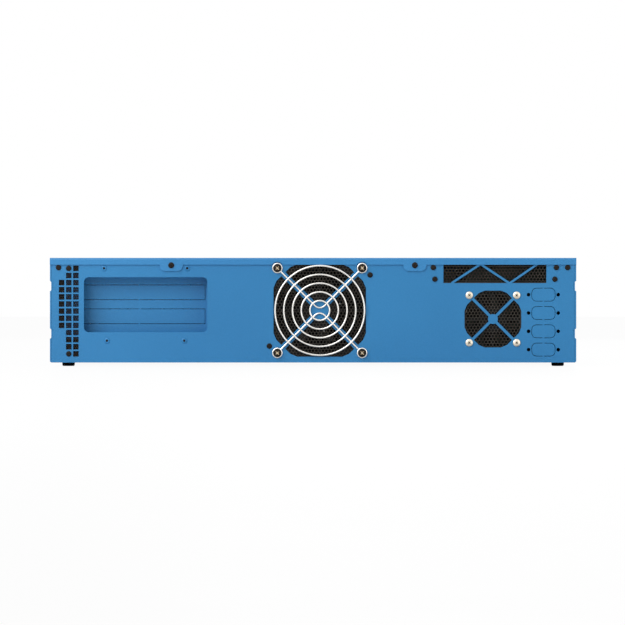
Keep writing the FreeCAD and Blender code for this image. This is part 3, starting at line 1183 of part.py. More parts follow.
def controls():
    """Power switch, reset switch and three status lights, on a small board behind the front wall."""
    board = body("switch_board")
    rear = back("control_board_setback")
    half = "(light_pitch + 2 * light_radius + 3)"
    low, high = up("reset_z - 8"), up("light_z + 6")
    block(board, (f"control_x - {half}", f"control_x + {half}"), (f"{rear} - board_thickness", rear), (low, high))
    for z in (f"{low} + 2.5", f"{high} - 2.5"):
        for x in (f"control_x - {half} + 2.5", f"control_x + {half} - 2.5"):
            cylinder(board, "y", (x, z), (rear, back("steel")), "2", corners=SHANK)
    for label, radius, height in (("power_button", "power_radius", "power_z"),
                                  ("reset_button", "reset_radius", "reset_z")):
        place = ("control_x", up(height))
        button = body(label)
        cylinder(button, "y", place, (back("button_length"), f"{FRONT} + button_reach"), radius, corners=KNOB)
        cylinder(button, "y", place, (back("steel + clearance + button_flange"), back("steel + clearance")),
                 f"{radius} + button_flange", corners=KNOB)
        stop = back("button_length + button_travel + clearance")
        cylinder(board, "y", place, (rear, stop), f"{radius} * 0.7", corners=SHANK)
    lights = body("status_lights")
    for light in (-1, 0, 1):
        cylinder(lights, "y", (f"control_x + {light} * light_pitch", up("light_z")),
                 (rear, f"{FRONT} + clearance"), "light_radius", corners=HEAD)


base_pan()
rear_panel()
expansion_bay()
rear_sheets()
for fan_name in FANS:
    fan_frame(fan_name)
    fan_rotor(fan_name)
fan_guard()
rear_fasteners()
rubber_feet()
top_cover()
cover_fasteners()
front_panel()
intake_mesh()
mainboard()
processor_cooler()
memory()
sockets()
graphics_card()
risers()
air_duct()
power_supplies()
drives()
controls()

doc.recompute()
for item in doc.Objects:
    if {"Invalid", "Error"} & set(item.State):
        raise RuntimeError(f"{item.Label} failed: {item.State}")
sub_parts = [item for item in doc.Objects if item.Label != "rear_punch"
             and (item.TypeId == "PartDesign::Body" or (item.TypeId == "Part::Feature" and item.Shape.Solids))]
os.makedirs("parts", exist_ok=True)
for item in sub_parts:
    if item.Shape.isNull() or not item.Shape.isValid():
        raise RuntimeError(f"{item.Label} has no valid shape")
    item.Shape.exportStep(f"parts/{item.Label}.step")
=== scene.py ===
"""Looks of a rack server with graphics cards: two units high, in a folded steel case with blue powder coat.

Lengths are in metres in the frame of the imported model. The rear wall with its fans faces -Y, and +Z is up.
Sizes are written in millimetres and multiplied by MM.
"""
import math

import bpy
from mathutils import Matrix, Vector


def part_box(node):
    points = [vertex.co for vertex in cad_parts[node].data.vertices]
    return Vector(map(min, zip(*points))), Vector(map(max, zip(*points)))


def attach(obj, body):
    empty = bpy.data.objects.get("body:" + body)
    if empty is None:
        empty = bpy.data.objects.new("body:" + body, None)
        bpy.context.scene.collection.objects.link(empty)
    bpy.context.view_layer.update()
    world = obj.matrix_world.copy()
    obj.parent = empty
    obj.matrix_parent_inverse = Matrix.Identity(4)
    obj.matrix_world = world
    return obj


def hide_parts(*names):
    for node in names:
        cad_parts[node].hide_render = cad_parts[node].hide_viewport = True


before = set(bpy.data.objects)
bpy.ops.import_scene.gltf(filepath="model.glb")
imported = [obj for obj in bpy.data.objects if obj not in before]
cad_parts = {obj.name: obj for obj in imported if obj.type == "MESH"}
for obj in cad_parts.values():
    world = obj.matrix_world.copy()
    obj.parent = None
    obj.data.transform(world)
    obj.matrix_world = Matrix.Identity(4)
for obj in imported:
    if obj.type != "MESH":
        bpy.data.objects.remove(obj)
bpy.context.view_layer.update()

MM = 0.001
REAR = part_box("rear_panel")[0].y
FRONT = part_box("front_panel")[1].y
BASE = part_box("base_pan")[0].z
SHEET = 1.2                          # mm of the case's steel
TO_REAR = (math.radians(90), 0, 0)
TO_FRONT = (math.radians(-90), 0, 0)
MAIN_FAN = (5.6, 43.9, 35.75)        # x, height over the case's underside, half the screws' spacing, in mm
SMALL_FAN = (151.7, 36.7, 20.0)
NOISE_MIDDLE = (0.3, 0.7)            # nearly all values of a noise lie between these


# ---------------------------------------------------------------- finishes

def linear(code):
    """The linear colour of an sRGB hex value."""
    channels = [int(code[place:place + 2], 16) / 255 for place in (0, 2, 4)]
    return [c / 12.92 if c <= 0.04045 else ((c + 0.055) / 1.055) ** 2.4 for c in channels] + [1.0]


def node(material, kind, links=None, **settings):
    """Adds a shader node: settings are its properties, links the values or sockets that its inputs take."""
    made = material.node_tree.nodes.new("ShaderNode" + kind)
    for name, value in settings.items():
        setattr(made, name, value)
    for name, value in (links or {}).items():
        if isinstance(value, bpy.types.NodeSocket):
            material.node_tree.links.new(value, made.inputs[name])
        else:
            made.inputs[name].default_value = value
    return made


def blank_material(name):
    """A material with an empty node tree, and the object's own coordinates in it."""
    material = bpy.data.materials.new(name)
    material.use_nodes = True
    material.node_tree.nodes.clear()
    return material, node(material, "TexCoord").outputs["Object"]


def noise(material, place, size, detail, output="Fac"):
    """Noise with lumps of a size in mm."""
    return node(material, "TexNoise", {"Vector": place, "Scale": 1 / (size * MM), "Detail": detail}).outputs[output]


def spread(material, value, low, high, source=(0.0, 1.0)):
    """A value of the source's range, spread from low to high."""
    return node(material, "MapRange", {"Value": value, "From Min": source[0], "From Max": source[1],
                                       "To Min": low, "To Max": high}).outputs["Result"]


def bump(material, height, strength, depth, **below):
    """The normals of a surface that a height moves by a depth in mm."""
    return node(material, "Bump", {"Height": height, "Strength": strength, "Distance": depth * MM,
                                   **below}).outputs["Normal"]


def surface(material, share, dark, light, gloss, normal, **sockets):
    """Ends a material with its shader: the colour between dark and light, the gloss and the bumps."""
    colour = node(material, "Mix", {0: share, 6: linear(dark), 7: linear(light)}, data_type="RGBA")
    shader = node(material, "BsdfPrincipled", {"Base Color": colour.outputs[2], "Roughness": gloss,
                                               "Normal": normal, **sockets})
    node(material, "OutputMaterial", {"Surface": shader.outputs["BSDF"]})
    return material


def worked_surface(name, dark, light, patch, rough, grain, depth, stretch=(1, 1, 1), **sockets):
    """A surface whose tone drifts over patches, with a fine grain in its gloss and its height.

    Patch, grain and depth are in mm. Stretch draws the grain out, as brushing does.
    """
    material, place = blank_material(name)
    drawn = node(material, "Mapping", {"Vector": place, "Scale": stretch}).outputs["Vector"]
    tooth = noise(material, drawn, grain, 2.0)
    tone = spread(material, noise(material, place, patch, 3.0), 0.0, 1.0, NOISE_MIDDLE)
    return surface(material, tone, dark, light, spread(material, tooth, *rough, NOISE_MIDDLE),
                   bump(material, tooth, 1.0, depth), **sockets)


def powder_coat(name, dark, light):
    """Powder coat on sheet steel: a broad drift of tone, and an orange peel of two sizes in gloss and height."""
    material, place = blank_material(name)
    peel, grain = noise(material, place, 1.6, 1.0), noise(material, place, 0.5, 1.0)
    fleck = spread(material, grain, -0.14, 0.14, (0.35, 0.65))
    tone = node(material, "Math", {0: noise(material, place, 140, 2.0), 1: fleck}, operation="ADD").outputs[0]
    fine = bump(material, grain, 1.0, 0.006)
    return surface(material, spread(material, tone, 0.0, 1.0, (0.2, 0.8)), dark, light,
                   spread(material, peel, 0.38, 0.5, NOISE_MIDDLE), bump(material, peel, 1.0, 0.03, Normal=fine),
                   IOR=1.5)


def spangled_zinc(name, dark, light):
    """Hot dipped zinc: flat crystals of a few millimetres, each with its own tone and gloss."""
    material, place = blank_material(name)
    warp = noise(material, place, 4, 2.0, "Color")
    bend = node(material, "VectorMath", {0: warp, "Scale": 1.5 * MM}, operation="SCALE")
    bent = node(material, "VectorMath", {0: place, 1: bend.outputs[0]}, operation="ADD")
    crystal = node(material, "TexVoronoi", {"Vector": bent.outputs[0], "Scale": 1 / (6 * MM)})
    split = node(material, "SeparateColor", {"Color": crystal.outputs["Color"]})
    return surface(material, split.outputs["Red"], dark, light, spread(material, split.outputs["Green"], 0.5, 0.66),
                   bump(material, crystal.outputs["Distance"], 0.4, 0.01), Metallic=1.0)


def circuit_board(name, mask, track):
    """Solder mask over copper: straight tracks in bundles, slightly lighter and raised, drawn coarse enough to see."""
    material, place = blank_material(name)

    def over(value, limit):
        return node(material, "Math", {0: value, 1: limit}, operation="GREATER_THAN").outputs[0]

    cells = node(material, "TexVoronoi", {"Vector": place, "Scale": 1 / (16 * MM)}, distance="CHEBYCHEV")
    split = node(material, "SeparateColor", {"Color": cells.outputs["Color"]})
    along, across = (over(node(material, "TexWave", {"Vector": place, "Scale": 1 / (10 * MM), "Distortion": 0.0},
                               wave_type="BANDS", bands_direction=way, wave_profile="SIN").outputs["Fac"], 0.62)
                     for way in ("X", "Y"))
    mixed = node(material, "Mix", {0: over(split.outputs["Red"], 0.5), 2: along, 3: across}).outputs[0]
    tracks = node(material, "Math", {0: mixed, 1: over(split.outputs["Green"], 0.45)}, operation="MULTIPLY").outputs[0]
    return surface(material, tracks, mask, track, spread(material, noise(material, place, 0.9, 1.0), 0.24, 0.4),
                   bump(material, tracks, 0.5, 0.03), IOR=1.55)


FINISH = {
    # Polyester powder coat: melted grains flow into a fine orange peel, so its glints are soft and broken
    "powder_coat": powder_coat("blue_powder_coat", "2279B2", "2E88C2"),
    # The same coat on the cover, painted a shade lighter: painted light, for the extra light that falls on the cover's
    # lip
    "cover_coat_painted_lighter": powder_coat("blue_powder_coat_painted_lighter_for_the_cover", "2B80BC", "378ECA"),
    # Black oxide on a wire or thin sheet: nearly matt, with a brown cast where the oxide is thin
    "mesh_steel": worked_surface("black_oxide_steel", "33302C", "46413A", 9, (0.5, 0.66), 0.8, 0.01,
                                 **{"IOR": 1.5, "Specular IOR Level": 0.25}),
    # Black zinc on cold headed screws: a dark satin that still shows the metal below
    "black_zinc": worked_surface("black_zinc_steel", "14110F", "241D18", 2.5, (0.5, 0.62), 0.5, 0.01,
                                 **{"IOR": 1.45, "Specular IOR Level": 0.2}),
    # Bright cream metal in the guard screws' cross recesses: a painted highlight where the recess catches the light
    "recess_painted_highlight": worked_surface("screw_recess_painted_highlight", "C9BBA2", "E6DBC6", 1.5, (0.34, 0.5), 0.4, 0.01,
                                   Metallic=1.0),
    # Bright chrome on drawn wire: almost a mirror, with the faint waves of the drawn rod
    "chrome": worked_surface("bright_chrome_wire", "E6E3DD", "F3F0EB", 6, (0.2, 0.3), 0.9, 0.004, Metallic=1.0),
    # Nickel on a cold headed screw: warmer and softer than chrome
    "nickel": worked_surface("satin_nickel_steel", "D9CDB8", "EFE6D6", 2, (0.30, 0.42), 0.4, 0.01, Metallic=1.0),
    # Gold flash over nickel on contacts and card edges
    "gold": worked_surface("gold_flashed_contact", "D9B35B", "EBCB7C", 2, (0.22, 0.34), 0.4, 0.004, Metallic=1.0),
    # Drawn copper: winding wire, spreader plates and coil ends
    "copper": worked_surface("drawn_copper", "B5714A", "CF8B62", 5, (0.28, 0.4), 0.5, 0.006, (1, 0.1, 1),
                             Metallic=1.0),
    # Moulded nitrile rubber: matt, with a fine bloom
    "rubber": worked_surface("moulded_black_rubber", "0D0D0D", "161514", 4, (0.78, 0.92), 0.6, 0.03,
                             **{"IOR": 1.52, "Specular IOR Level": 0.2}),
    # Glass filled polyester: almost black and matt, with a fine spark eroded grain
    "fan_plastic": worked_surface("matt_fan_polyester", "070707", "0D0D0D", 12, (0.55, 0.7), 0.5, 0.01,
                                  **{"IOR": 1.45, "Specular IOR Level": 0.2}),
    # Glass filled nylon with more gloss, on ducts and shells, with faint flow marks
    "black_plastic": worked_surface("glass_filled_nylon", "121213", "1D1D1E", 14, (0.42, 0.6), 0.5, 0.02, IOR=1.53),
    # Epoxy moulded over a chip: dull, with a fine grit
    "chip_epoxy": worked_surface("moulded_chip_epoxy", "1C1D1F", "28292B", 3, (0.5, 0.64), 0.25, 0.008, IOR=1.55),
    # ABS in a cool grey, for trays, levers and buttons
    "grey_plastic": worked_surface("moulded_grey_abs", "666C72", "747A80", 20, (0.4, 0.52), 0.7, 0.015, IOR=1.54),
    # Polyester in a dull red, on the thumb latches that a hand has to find
    "red_plastic": worked_surface("moulded_red_polyester", "8E2B27", "A23531", 9, (0.36, 0.48), 0.6, 0.012, IOR=1.57),
    # Polyester in blue, for the tongues of the fast serial sockets
    "blue_plastic": worked_surface("moulded_blue_polyester", "1F5FA8", "2A6DB8", 5, (0.34, 0.45), 0.4, 0.01,
                                   IOR=1.57),
    # Pale nylon of wire headers and latches
    "pale_plastic": worked_surface("moulded_pale_nylon", "CFCBBE", "DEDACE", 6, (0.4, 0.52), 0.4, 0.01, IOR=1.53),
    # Extruded and sawn aluminium: fine lines along the extrusion
    "aluminium": worked_surface("extruded_aluminium", "AEB1B4", "C8CBCE", 18, (0.28, 0.42), 0.5, 0.01,
                                (1, 0.05, 1), Metallic=1.0),
    # Rolled and tinned steel of socket shells: a soft mirror with faint roll lines
    "tinned": worked_surface("tinned_shell_steel", "C3C4C4", "D6D7D6", 7, (0.2, 0.32), 0.5, 0.006, (0.1, 1, 1),
                             Metallic=1.0),
    # Hot dipped zinc on cage steel, with its crystals
    "galvanised": spangled_zinc("galvanised_steel", "858C8F", "A6ACAE"),
    # Black lacquered steel, for brackets and shrouds
    "black_steel": worked_surface("black_lacquered_steel", "191A1B", "232425", 30, (0.35, 0.46), 0.9, 0.015, IOR=1.5),
    # Solder mask over copper
    "solder_mask": circuit_board("green_solder_mask", "123F28", "1E5F3B"),
    # Frosted acrylic over a lamp
    "lens": worked_surface("frosted_acrylic", "B9D6C8", "DDEFE6", 1, (0.3, 0.4), 0.3, 0.01, IOR=1.49),
}

# The record's material slot of each finish, where it has another name
SLOT_OF_FINISH = {
    "powder_coat": "blue_paint", "cover_coat_painted_lighter": "blue_paint", "mesh_steel": "black_steel",
    "black_zinc": "black_screw", "recess_painted_highlight": "black_screw", "chrome": "chrome_wire", "nickel": "nickel_screw",
    "fan_plastic": "black_plastic", "chip_epoxy": "black_plastic", "galvanised": "galvanised_steel",
    "tinned": "galvanised_steel", "solder_mask": "circuit_board", "lens": "light_lens",
}
# The finish of each slot on the CAD nodes that stay, where it has another name
FINISH_OF_SLOT = {
    "blue_paint": "powder_coat", "galvanised_steel": "galvanised", "black_screw": "black_zinc",
    "chrome_wire": "chrome", "nickel_screw": "nickel", "circuit_board": "solder_mask", "light_lens": "lens",
}


# ---------------------------------------------------------------- ways of making a piece

def clear():
    """Selects nothing, because an operator acts on all that is selected."""
    if bpy.context.object and bpy.context.object.mode != "OBJECT":
        bpy.ops.object.mode_set(mode="OBJECT")
    bpy.ops.object.select_all(action="DESELECT")


def take(*pieces):
    """Selects only these pieces, and makes the first the active one."""
    clear()
    for piece in pieces:
        piece.select_set(True)
    bpy.context.view_layer.objects.active = pieces[0]


def settle(piece):
    """Puts the piece's place, turn and size into its mesh."""
    take(piece)
    bpy.ops.object.transform_apply(location=True, rotation=True, scale=True)
    return piece


def start(shape, **settings):
    """A mesh primitive with nothing else selected and its transform applied."""
    clear()
    getattr(bpy.ops.mesh, f"primitive_{shape}_add")(**settings)
    return settle(bpy.context.object)


def edit(piece, kind="FACE", wanted=None):
    """Opens the piece for editing, with the faces or edges selected whose middle and way fit, or all of them."""
    take(piece)
    bpy.ops.object.mode_set(mode="EDIT")
    bpy.ops.mesh.select_mode(type=kind)
    bpy.ops.mesh.select_all(action="SELECT" if wanted is None else "DESELECT")
    if wanted is not None:
        bpy.ops.object.mode_set(mode="OBJECT")
        mesh = piece.data
        if kind == "FACE":
            for face in mesh.polygons:
                face.select = bool(wanted(face.center, face.normal))
        else:
            for edge in mesh.edges:
                a, b = (mesh.vertices[place].co for place in edge.vertices)
                edge.select = bool(wanted((a + b) / 2, (b - a).normalized()))
        bpy.ops.object.mode_set(mode="EDIT")


def close():
    """Leaves edit mode."""
    bpy.ops.object.mode_set(mode="OBJECT")


def reshape(piece, kind, wanted, tool, **settings):
    """Runs one tool on the chosen faces or edges."""
    edit(piece, kind, wanted)
    tool(**settings)
    close()


def extrude(by):
    """Draws what is selected out by a vector in metres."""
    bpy.ops.mesh.extrude_region_move(TRANSFORM_OT_translate={"value": by})


def tidy(piece):
    """Merges doubled points and turns the faces outward."""
    edit(piece)
    bpy.ops.mesh.remove_doubles(threshold=0.002 * MM)
    bpy.ops.mesh.normals_make_consistent(inside=False)
    close()
    return piece


def modify(piece, kind, **settings):
    """Adds one modifier and applies it."""
    take(piece)
    modifier = piece.modifiers.new(kind.lower(), kind)
    for name, value in settings.items():
        setattr(modifier, name, value)
    bpy.ops.object.modifier_apply(modifier=modifier.name)
    return piece


def join(*pieces):
    """Joins the pieces into the first."""
    if len(pieces) > 1:
        take(*pieces)
        bpy.ops.object.join()
    return pieces[0]


def copy_to(model, places, turns=None):
    """Copies of a model, each with its own mesh, moved to the places and joined; the model itself goes."""
    copies = []
    for number, place in enumerate(places):
        take(model)
        bpy.ops.object.duplicate(linked=False)
        twin = bpy.context.object
        twin.location = place
        if turns:
            twin.rotation_euler = turns[number]
        copies.append(settle(twin))
    bpy.data.objects.remove(model)
    return join(*copies)


def paint(piece, finish):
    """Gives every face of the piece one finish."""
    piece.data.materials.clear()
    piece.data.materials.append(FINISH[finish])
    return piece


def finished(piece, name, body, *nodes, finish=None, slot=None, smooth=30):
    """Names a piece, smooths edges below an angle, lets it ride on its body and stand for its nodes."""
    settle(piece)
    piece.name = piece.data.name = name
    if finish:
        paint(piece, finish)
    if smooth:
        take(piece)
        bpy.ops.object.shade_smooth_by_angle(angle=math.radians(smooth))
    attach(piece, body)
    if nodes:
        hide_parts(*nodes)


def at(x, y, z):
    """A point of the frame by its millimetres."""
    return Vector((x, y, z)) * MM


def front_place(x, z, out=0.0):
    """A point on the front wall by its x and z in mm, and how far it stands out in front."""
    return Vector((x * MM, FRONT + out * MM, z * MM))


def corners(node_name):
    """The low and the high corner of a node's box in mm."""
    return [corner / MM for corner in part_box(node_name)]


def rear_place(x, height, depth=0.0):
    """A point on the rear wall by its x and its height above the case's underside, and its depth inside it."""
    return Vector((x * MM, REAR + depth * MM, BASE + height * MM))


def turned(profile, sides=32):
    """A round piece about Z: a disc extruded and scaled through points of (radius, height) in mm."""
    piece = start("circle", vertices=sides, radius=profile[0][0] * MM, fill_type="NGON",
                  location=(0, 0, profile[0][1] * MM))
    edit(piece)
    for (before, low), (after, high) in zip(profile, profile[1:]):
        extrude((0, 0, (high - low) * MM))
        bpy.ops.transform.resize(value=(after / before, after / before, 1), center_override=(0, 0, high * MM))
    close()
    return tidy(piece)


def block(low, high, edge=0.0, steps=2):
    """A box between two corners in metres, with its edges rounded by a number of mm."""
    low, high = Vector(low), Vector(high)
    piece = start("cube", size=1, location=(low + high) / 2, scale=high - low)
    if edge:
        reshape(piece, "FACE", None, bpy.ops.mesh.bevel, offset=edge * MM, segments=steps, affect="EDGES")
    return piece


def drum(profile, place, finish, turn=(0, 0, 0), sides=24):
    """A turned piece in its finish, put at a place."""
    return paint(copy_to(turned(profile, sides), [place], [turn]), finish)


def brick(low, high, finish, edge=0.0, steps=2):
    """A block in its finish, between two corners in mm of the frame."""
    return paint(block(at(*low), at(*high), edge, steps), finish)


def rows_of(model, *rows):
    """Repeats a model in rows: each has a count and a step in mm."""
    for count, step in rows:
        modify(model, "ARRAY", count=count, use_relative_offset=False, use_constant_offset=True,
               constant_offset_displace=[length * MM for length in step])
    return model


def grid_of(model, columns, rows, across, along):
    """Repeats a model in columns and rows on a board, with the steps in mm."""
    return rows_of(model, (columns, (across, 0, 0)), (rows, (0, along, 0)))


def heads_at(xs, ys, z, profile, finish, sides=20):
    """The same turned head wherever one of the xs meets one of the ys."""
    return [drum(profile, at(x, y, z), finish, sides=sides) for x in xs for y in ys]


def cut(piece, *tools):
    """Takes the tools away from the piece, one after the other."""
    for tool in tools:
        modify(piece, "BOOLEAN", operation="DIFFERENCE", object=tool, solver="EXACT")
        bpy.data.objects.remove(tool)
    return piece


def pulled(piece, wanted, by, size):
    """Draws chosen faces out by a vector in mm, and scales them about their own middle."""
    edit(piece, "FACE", wanted)
    extrude(at(*by))
    bpy.ops.transform.resize(value=size)
    close()


def eased(node_name, width, angle=40, steps=2):
    """A copy of a CAD node whose sharp edges are rounded, as a tool or a press leaves them."""
    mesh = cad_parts[node_name].data.copy()
    piece = bpy.data.objects.new(node_name + "_eased", mesh)
    bpy.context.scene.collection.objects.link(piece)
    mesh.materials.clear()
    edit(piece)
    bpy.ops.mesh.remove_doubles(threshold=0.01 * MM)
    bpy.ops.mesh.dissolve_limited(angle_limit=math.radians(1))
    close()
    return modify(piece, "BEVEL", width=width * MM, segments=steps, limit_method="ANGLE",
                  angle_limit=math.radians(angle), use_clamp_overlap=True)


# ---------------------------------------------------------------- rear wall

def cross_recess(reach, width, depth, top):
    """The cutter of a driver's cross recess about Z: two crossed bars that narrow towards their bottom."""
    bars = []
    for turn in (45, 135):
        bar = block((-reach * MM, -width / 2 * MM, (top - depth) * MM), (reach * MM, width / 2 * MM, (top + 1) * MM))
        reshape(bar, "FACE", lambda spot, way: way.z < -0.5, bpy.ops.transform.resize, value=(0.45, 0.6, 1),
                center_override=(0, 0, (top - depth) * MM))
        bar.rotation_euler = (0, 0, math.radians(turn))
        bars.append(settle(bar))
    modify(bars[0], "BOOLEAN", operation="UNION", object=bars[1], solver="EXACT")
    bpy.data.objects.remove(bars[1])
    return bars[0]


def pan_head(radius, height, recess, finish, recess_finish):
    """A pan head screw's head about Z: a low drum that rounds over to a shallow dome, with a cross recess in a second
    finish that paints the recess's light and shade.
    """
    shoulder = 0.35
    profile = [(radius, 0), (radius, shoulder * height)]
    for step in (math.radians(degrees) for degrees in (18, 36, 54, 68, 80)):
        profile.append((radius * math.cos(step) ** 0.55, height * (shoulder + (1 - shoulder) * math.sin(step))))
    head = paint(turned(profile + [(0.02, height)]), finish)
    head.data.materials.append(FINISH[recess_finish])
    cutter = cross_recess(recess, recess * 0.42, height * 0.6, height)
    cutter.data.materials.append(FINISH[finish])
    cutter.data.materials.append(FINISH[recess_finish])
    for face in cutter.data.polygons:
        face.material_index = 1
    return cut(head, cutter)


def square_places(fan):
    """The four screw places around a fan."""
    x, height, reach = fan
    return [(x + side * reach, height + rise * reach) for rise in (1, -1) for side in (-1, 1)]


def rear_screws():
    """All the screws of the rear wall, driven in from outside."""
    # The last two columns are the finishes of the head and of its cross recess. Each recess colour is painted light: a
    # cream painted highlight in the guard screws, black painted shade in the nickel fan screws, and a brownish painted
    # highlight in the small black screws of the wall and the cover.
    kinds = (
        ("guard_screw_heads", "guard_screws", square_places(MAIN_FAN), -1.8, (3.4, 2.4, 2.5), "black_zinc",
         "recess_painted_highlight"),
        ("small_fan_screw_heads", "small_fan_screws", square_places(SMALL_FAN), 0, (3.25, 1.5, 1.8), "nickel",
         "black_zinc"),
        ("rear_wall_screw_heads", "rear_panel_screws",
         [(48.1, 73.9), (-36.9, 13.9), (101.45, 80.1), (205.25, 80.1), (102.75, 70.3), (203.95, 70.3),
          (-214.7, 80.1), (214.7, 80.1), (-206.11, 79.42), (-206.11, 7.3)], 0, (2.3, 1.1, 1.0), "black_zinc",
         "mesh_steel"),
        ("cover_screw_heads", "cover_fasteners", [(-119.6, 82), (85.8, 82)], -1.35, (2.5, 1.3, 1.15), "black_zinc",
         "mesh_steel"),
    )
    for name, carried, places, depth, (radius, height, recess), finish, inner in kinds:
        head = pan_head(radius, height, recess, finish, inner)
        if carried == "cover_fasteners":
            # The captive nut that the screw pulls against behind the wall
            nut = start("cylinder", vertices=6, radius=3.2 * MM, depth=2.4 * MM, location=(0, 0, -4.2 * MM))
            modify(nut, "BEVEL", width=0.25 * MM, segments=2)
            shank = turned([(1.5, -5.6), (1.5, 0.1)], 20)
            head = join(head, paint(nut, "nickel"), paint(shank, "black_zinc"))
        heads = copy_to(head, [rear_place(x, rise, depth) for x, rise in places], [TO_REAR] * len(places))
        body = "cover" if carried == "cover_fasteners" else "case"
        finished(heads, name, body, carried, slot=SLOT_OF_FINISH[finish])


def blind_rivets():
    """The rivets that hold the card recess, painted with the case, each with the stub of its mandrel in black: painted
    shade in the rivet's hole.
    """
    places = [(-176.3, 79.5), (-106.2, 79.5), (-173.85, 18.4), (-108.65, 18.4)]
    dome = turned([(2.5, 0), (2.42, 0.3), (2.1, 0.62), (1.6, 0.82), (1.1, 0.9), (1.02, 0.86), (0.98, 0.1)], 32)
    paint(dome, "powder_coat")
    # The mandrel's stub is black: painted shade for the dark hole in each rivet's middle.
    mandrel = turned([(0.95, 0.1), (0.95, 0.42), (0.75, 0.5), (0.02, 0.52)], 20)
    paint(mandrel, "black_zinc")
    rivets = copy_to(join(dome, mandrel), [rear_place(*place) for place in places], [TO_REAR] * 4)
    finished(rivets, "bay_rivet_heads", "case", "bay_rivets", slot="blue_paint", smooth=40)


def punched_sheet(low, high, window, near, pitch, hole, thickness=0.8):
    """A sheet punched with staggered hexagonal holes inside a plain border.

    Low and high are its corners in metres as (x, z), window those of the punched field, and near the y of the
    side that faces -Y. Pitch, hole and thickness are in mm.
    """
    middle = Vector(((window[0][0] + window[1][0]) / 2, near, (window[0][1] + window[1][1]) / 2))
    row = pitch * math.sqrt(3) / 2
    columns = math.floor((window[1][0] - window[0][0]) / 2 / (pitch * MM) - 0.25)
    rows = math.floor((window[1][1] - window[0][1]) / 2 / (row * MM))
    reach = Vector(((columns + 0.25) * pitch * MM, 0, rows * row * MM))
    across, rise = columns + 1, (rows + 2) // 2
    sides = [Vector(way) for way in ((1, 0, 0), (-1, 0, 0), (0, 0, 1), (0, 0, -1))]
    bounds = [(middle + Vector(way * size for way, size in zip(side, reach)), side) for side in sides]
    cell = start("circle", vertices=6, radius=pitch / math.sqrt(3) * MM, fill_type="NGON", rotation=TO_REAR,
                 location=(middle.x - across * pitch * MM, near, middle.z - 2 * rise * row * MM))
    edit(cell)
    bpy.ops.mesh.inset(thickness=(pitch - hole) / 2 * MM)
    bpy.ops.mesh.delete(type="FACE")
    close()
    rows_of(cell, (2, (pitch / 2, 0, row)), (2 * across + 1, (pitch, 0, 0)), (2 * rise + 1, (0, 0, 2 * row)))
    edit(cell, "VERT")
    bpy.ops.mesh.remove_doubles(threshold=0.01 * MM)
    for spot, side in bounds:
        bpy.ops.mesh.select_all(action="SELECT")
        bpy.ops.mesh.bisect(plane_co=spot, plane_no=side, clear_outer=True)
    close()
    border = start("plane", size=1, rotation=TO_REAR)
    border.scale = (high[0] - low[0], 1, high[1] - low[1])
    border.location = ((low[0] + high[0]) / 2, near, (low[1] + high[1]) / 2)
    settle(border)
    edit(border)
    for spot, side in bounds:
        bpy.ops.mesh.select_all(action="SELECT")
        bpy.ops.mesh.bisect(plane_co=spot, plane_no=side)
    reshape(border, "FACE", lambda spot, way: all(abs((spot - middle)[n]) <= reach[n] for n in (0, 2)),
            bpy.ops.mesh.delete, type="FACE")
    sheet = join(cell, border)
    modify(sheet, "SOLIDIFY", thickness=thickness * MM, offset=-1)
    sheet.location.y += near - min(vertex.co.y for vertex in sheet.data.vertices)
    reshape(settle(sheet), "FACE", None, bpy.ops.mesh.normals_make_consistent, inside=False)
    return sheet


def rear_meshes():
    """The punched sheets behind the openings of the rear wall and behind the front intake."""
    for carried, (x, height, width, tall) in (
        ("main_fan_mesh", (MAIN_FAN[0], MAIN_FAN[1], 84, 79.4)),
        ("small_fan_mesh", (SMALL_FAN[0], SMALL_FAN[1], 49.4, 49.4)),
        ("upper_vent_mesh", (153.35, 75, 92, 18)),
        ("grid_mesh", (-206.1, 43.4, 17, 76)),
        ("intake_mesh", (-161.5, 19, 99, 23)),
    ):
        low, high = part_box(carried)
        middle = rear_place(x, height)
        half = Vector((width / 2 * MM, 0, tall / 2 * MM))
        window = [((middle + half * way).x, (middle + half * way).z) for way in (-1, 1)]
        pitch, hole = (1.9, 1.1) if carried == "grid_mesh" else (2.8, 2.3)
        sheet = punched_sheet((low.x, low.z), (high.x, high.z), window, low.y, pitch, hole)
        finished(sheet, carried.replace("mesh", "hex_mesh"), "case", carried,
                 finish="black_zinc" if carried == "grid_mesh" else "mesh_steel", slot="black_steel", smooth=0)


def wire_end(place, way, wire, sides=10):
    """The open end ring of a wire at a place, square to the way that the wire will go."""
    turn = Vector((0, 0, 1)).rotation_difference(way).to_euler()
    return start("circle", vertices=sides, radius=wire * MM, fill_type="NOTHING", location=place, rotation=turn)


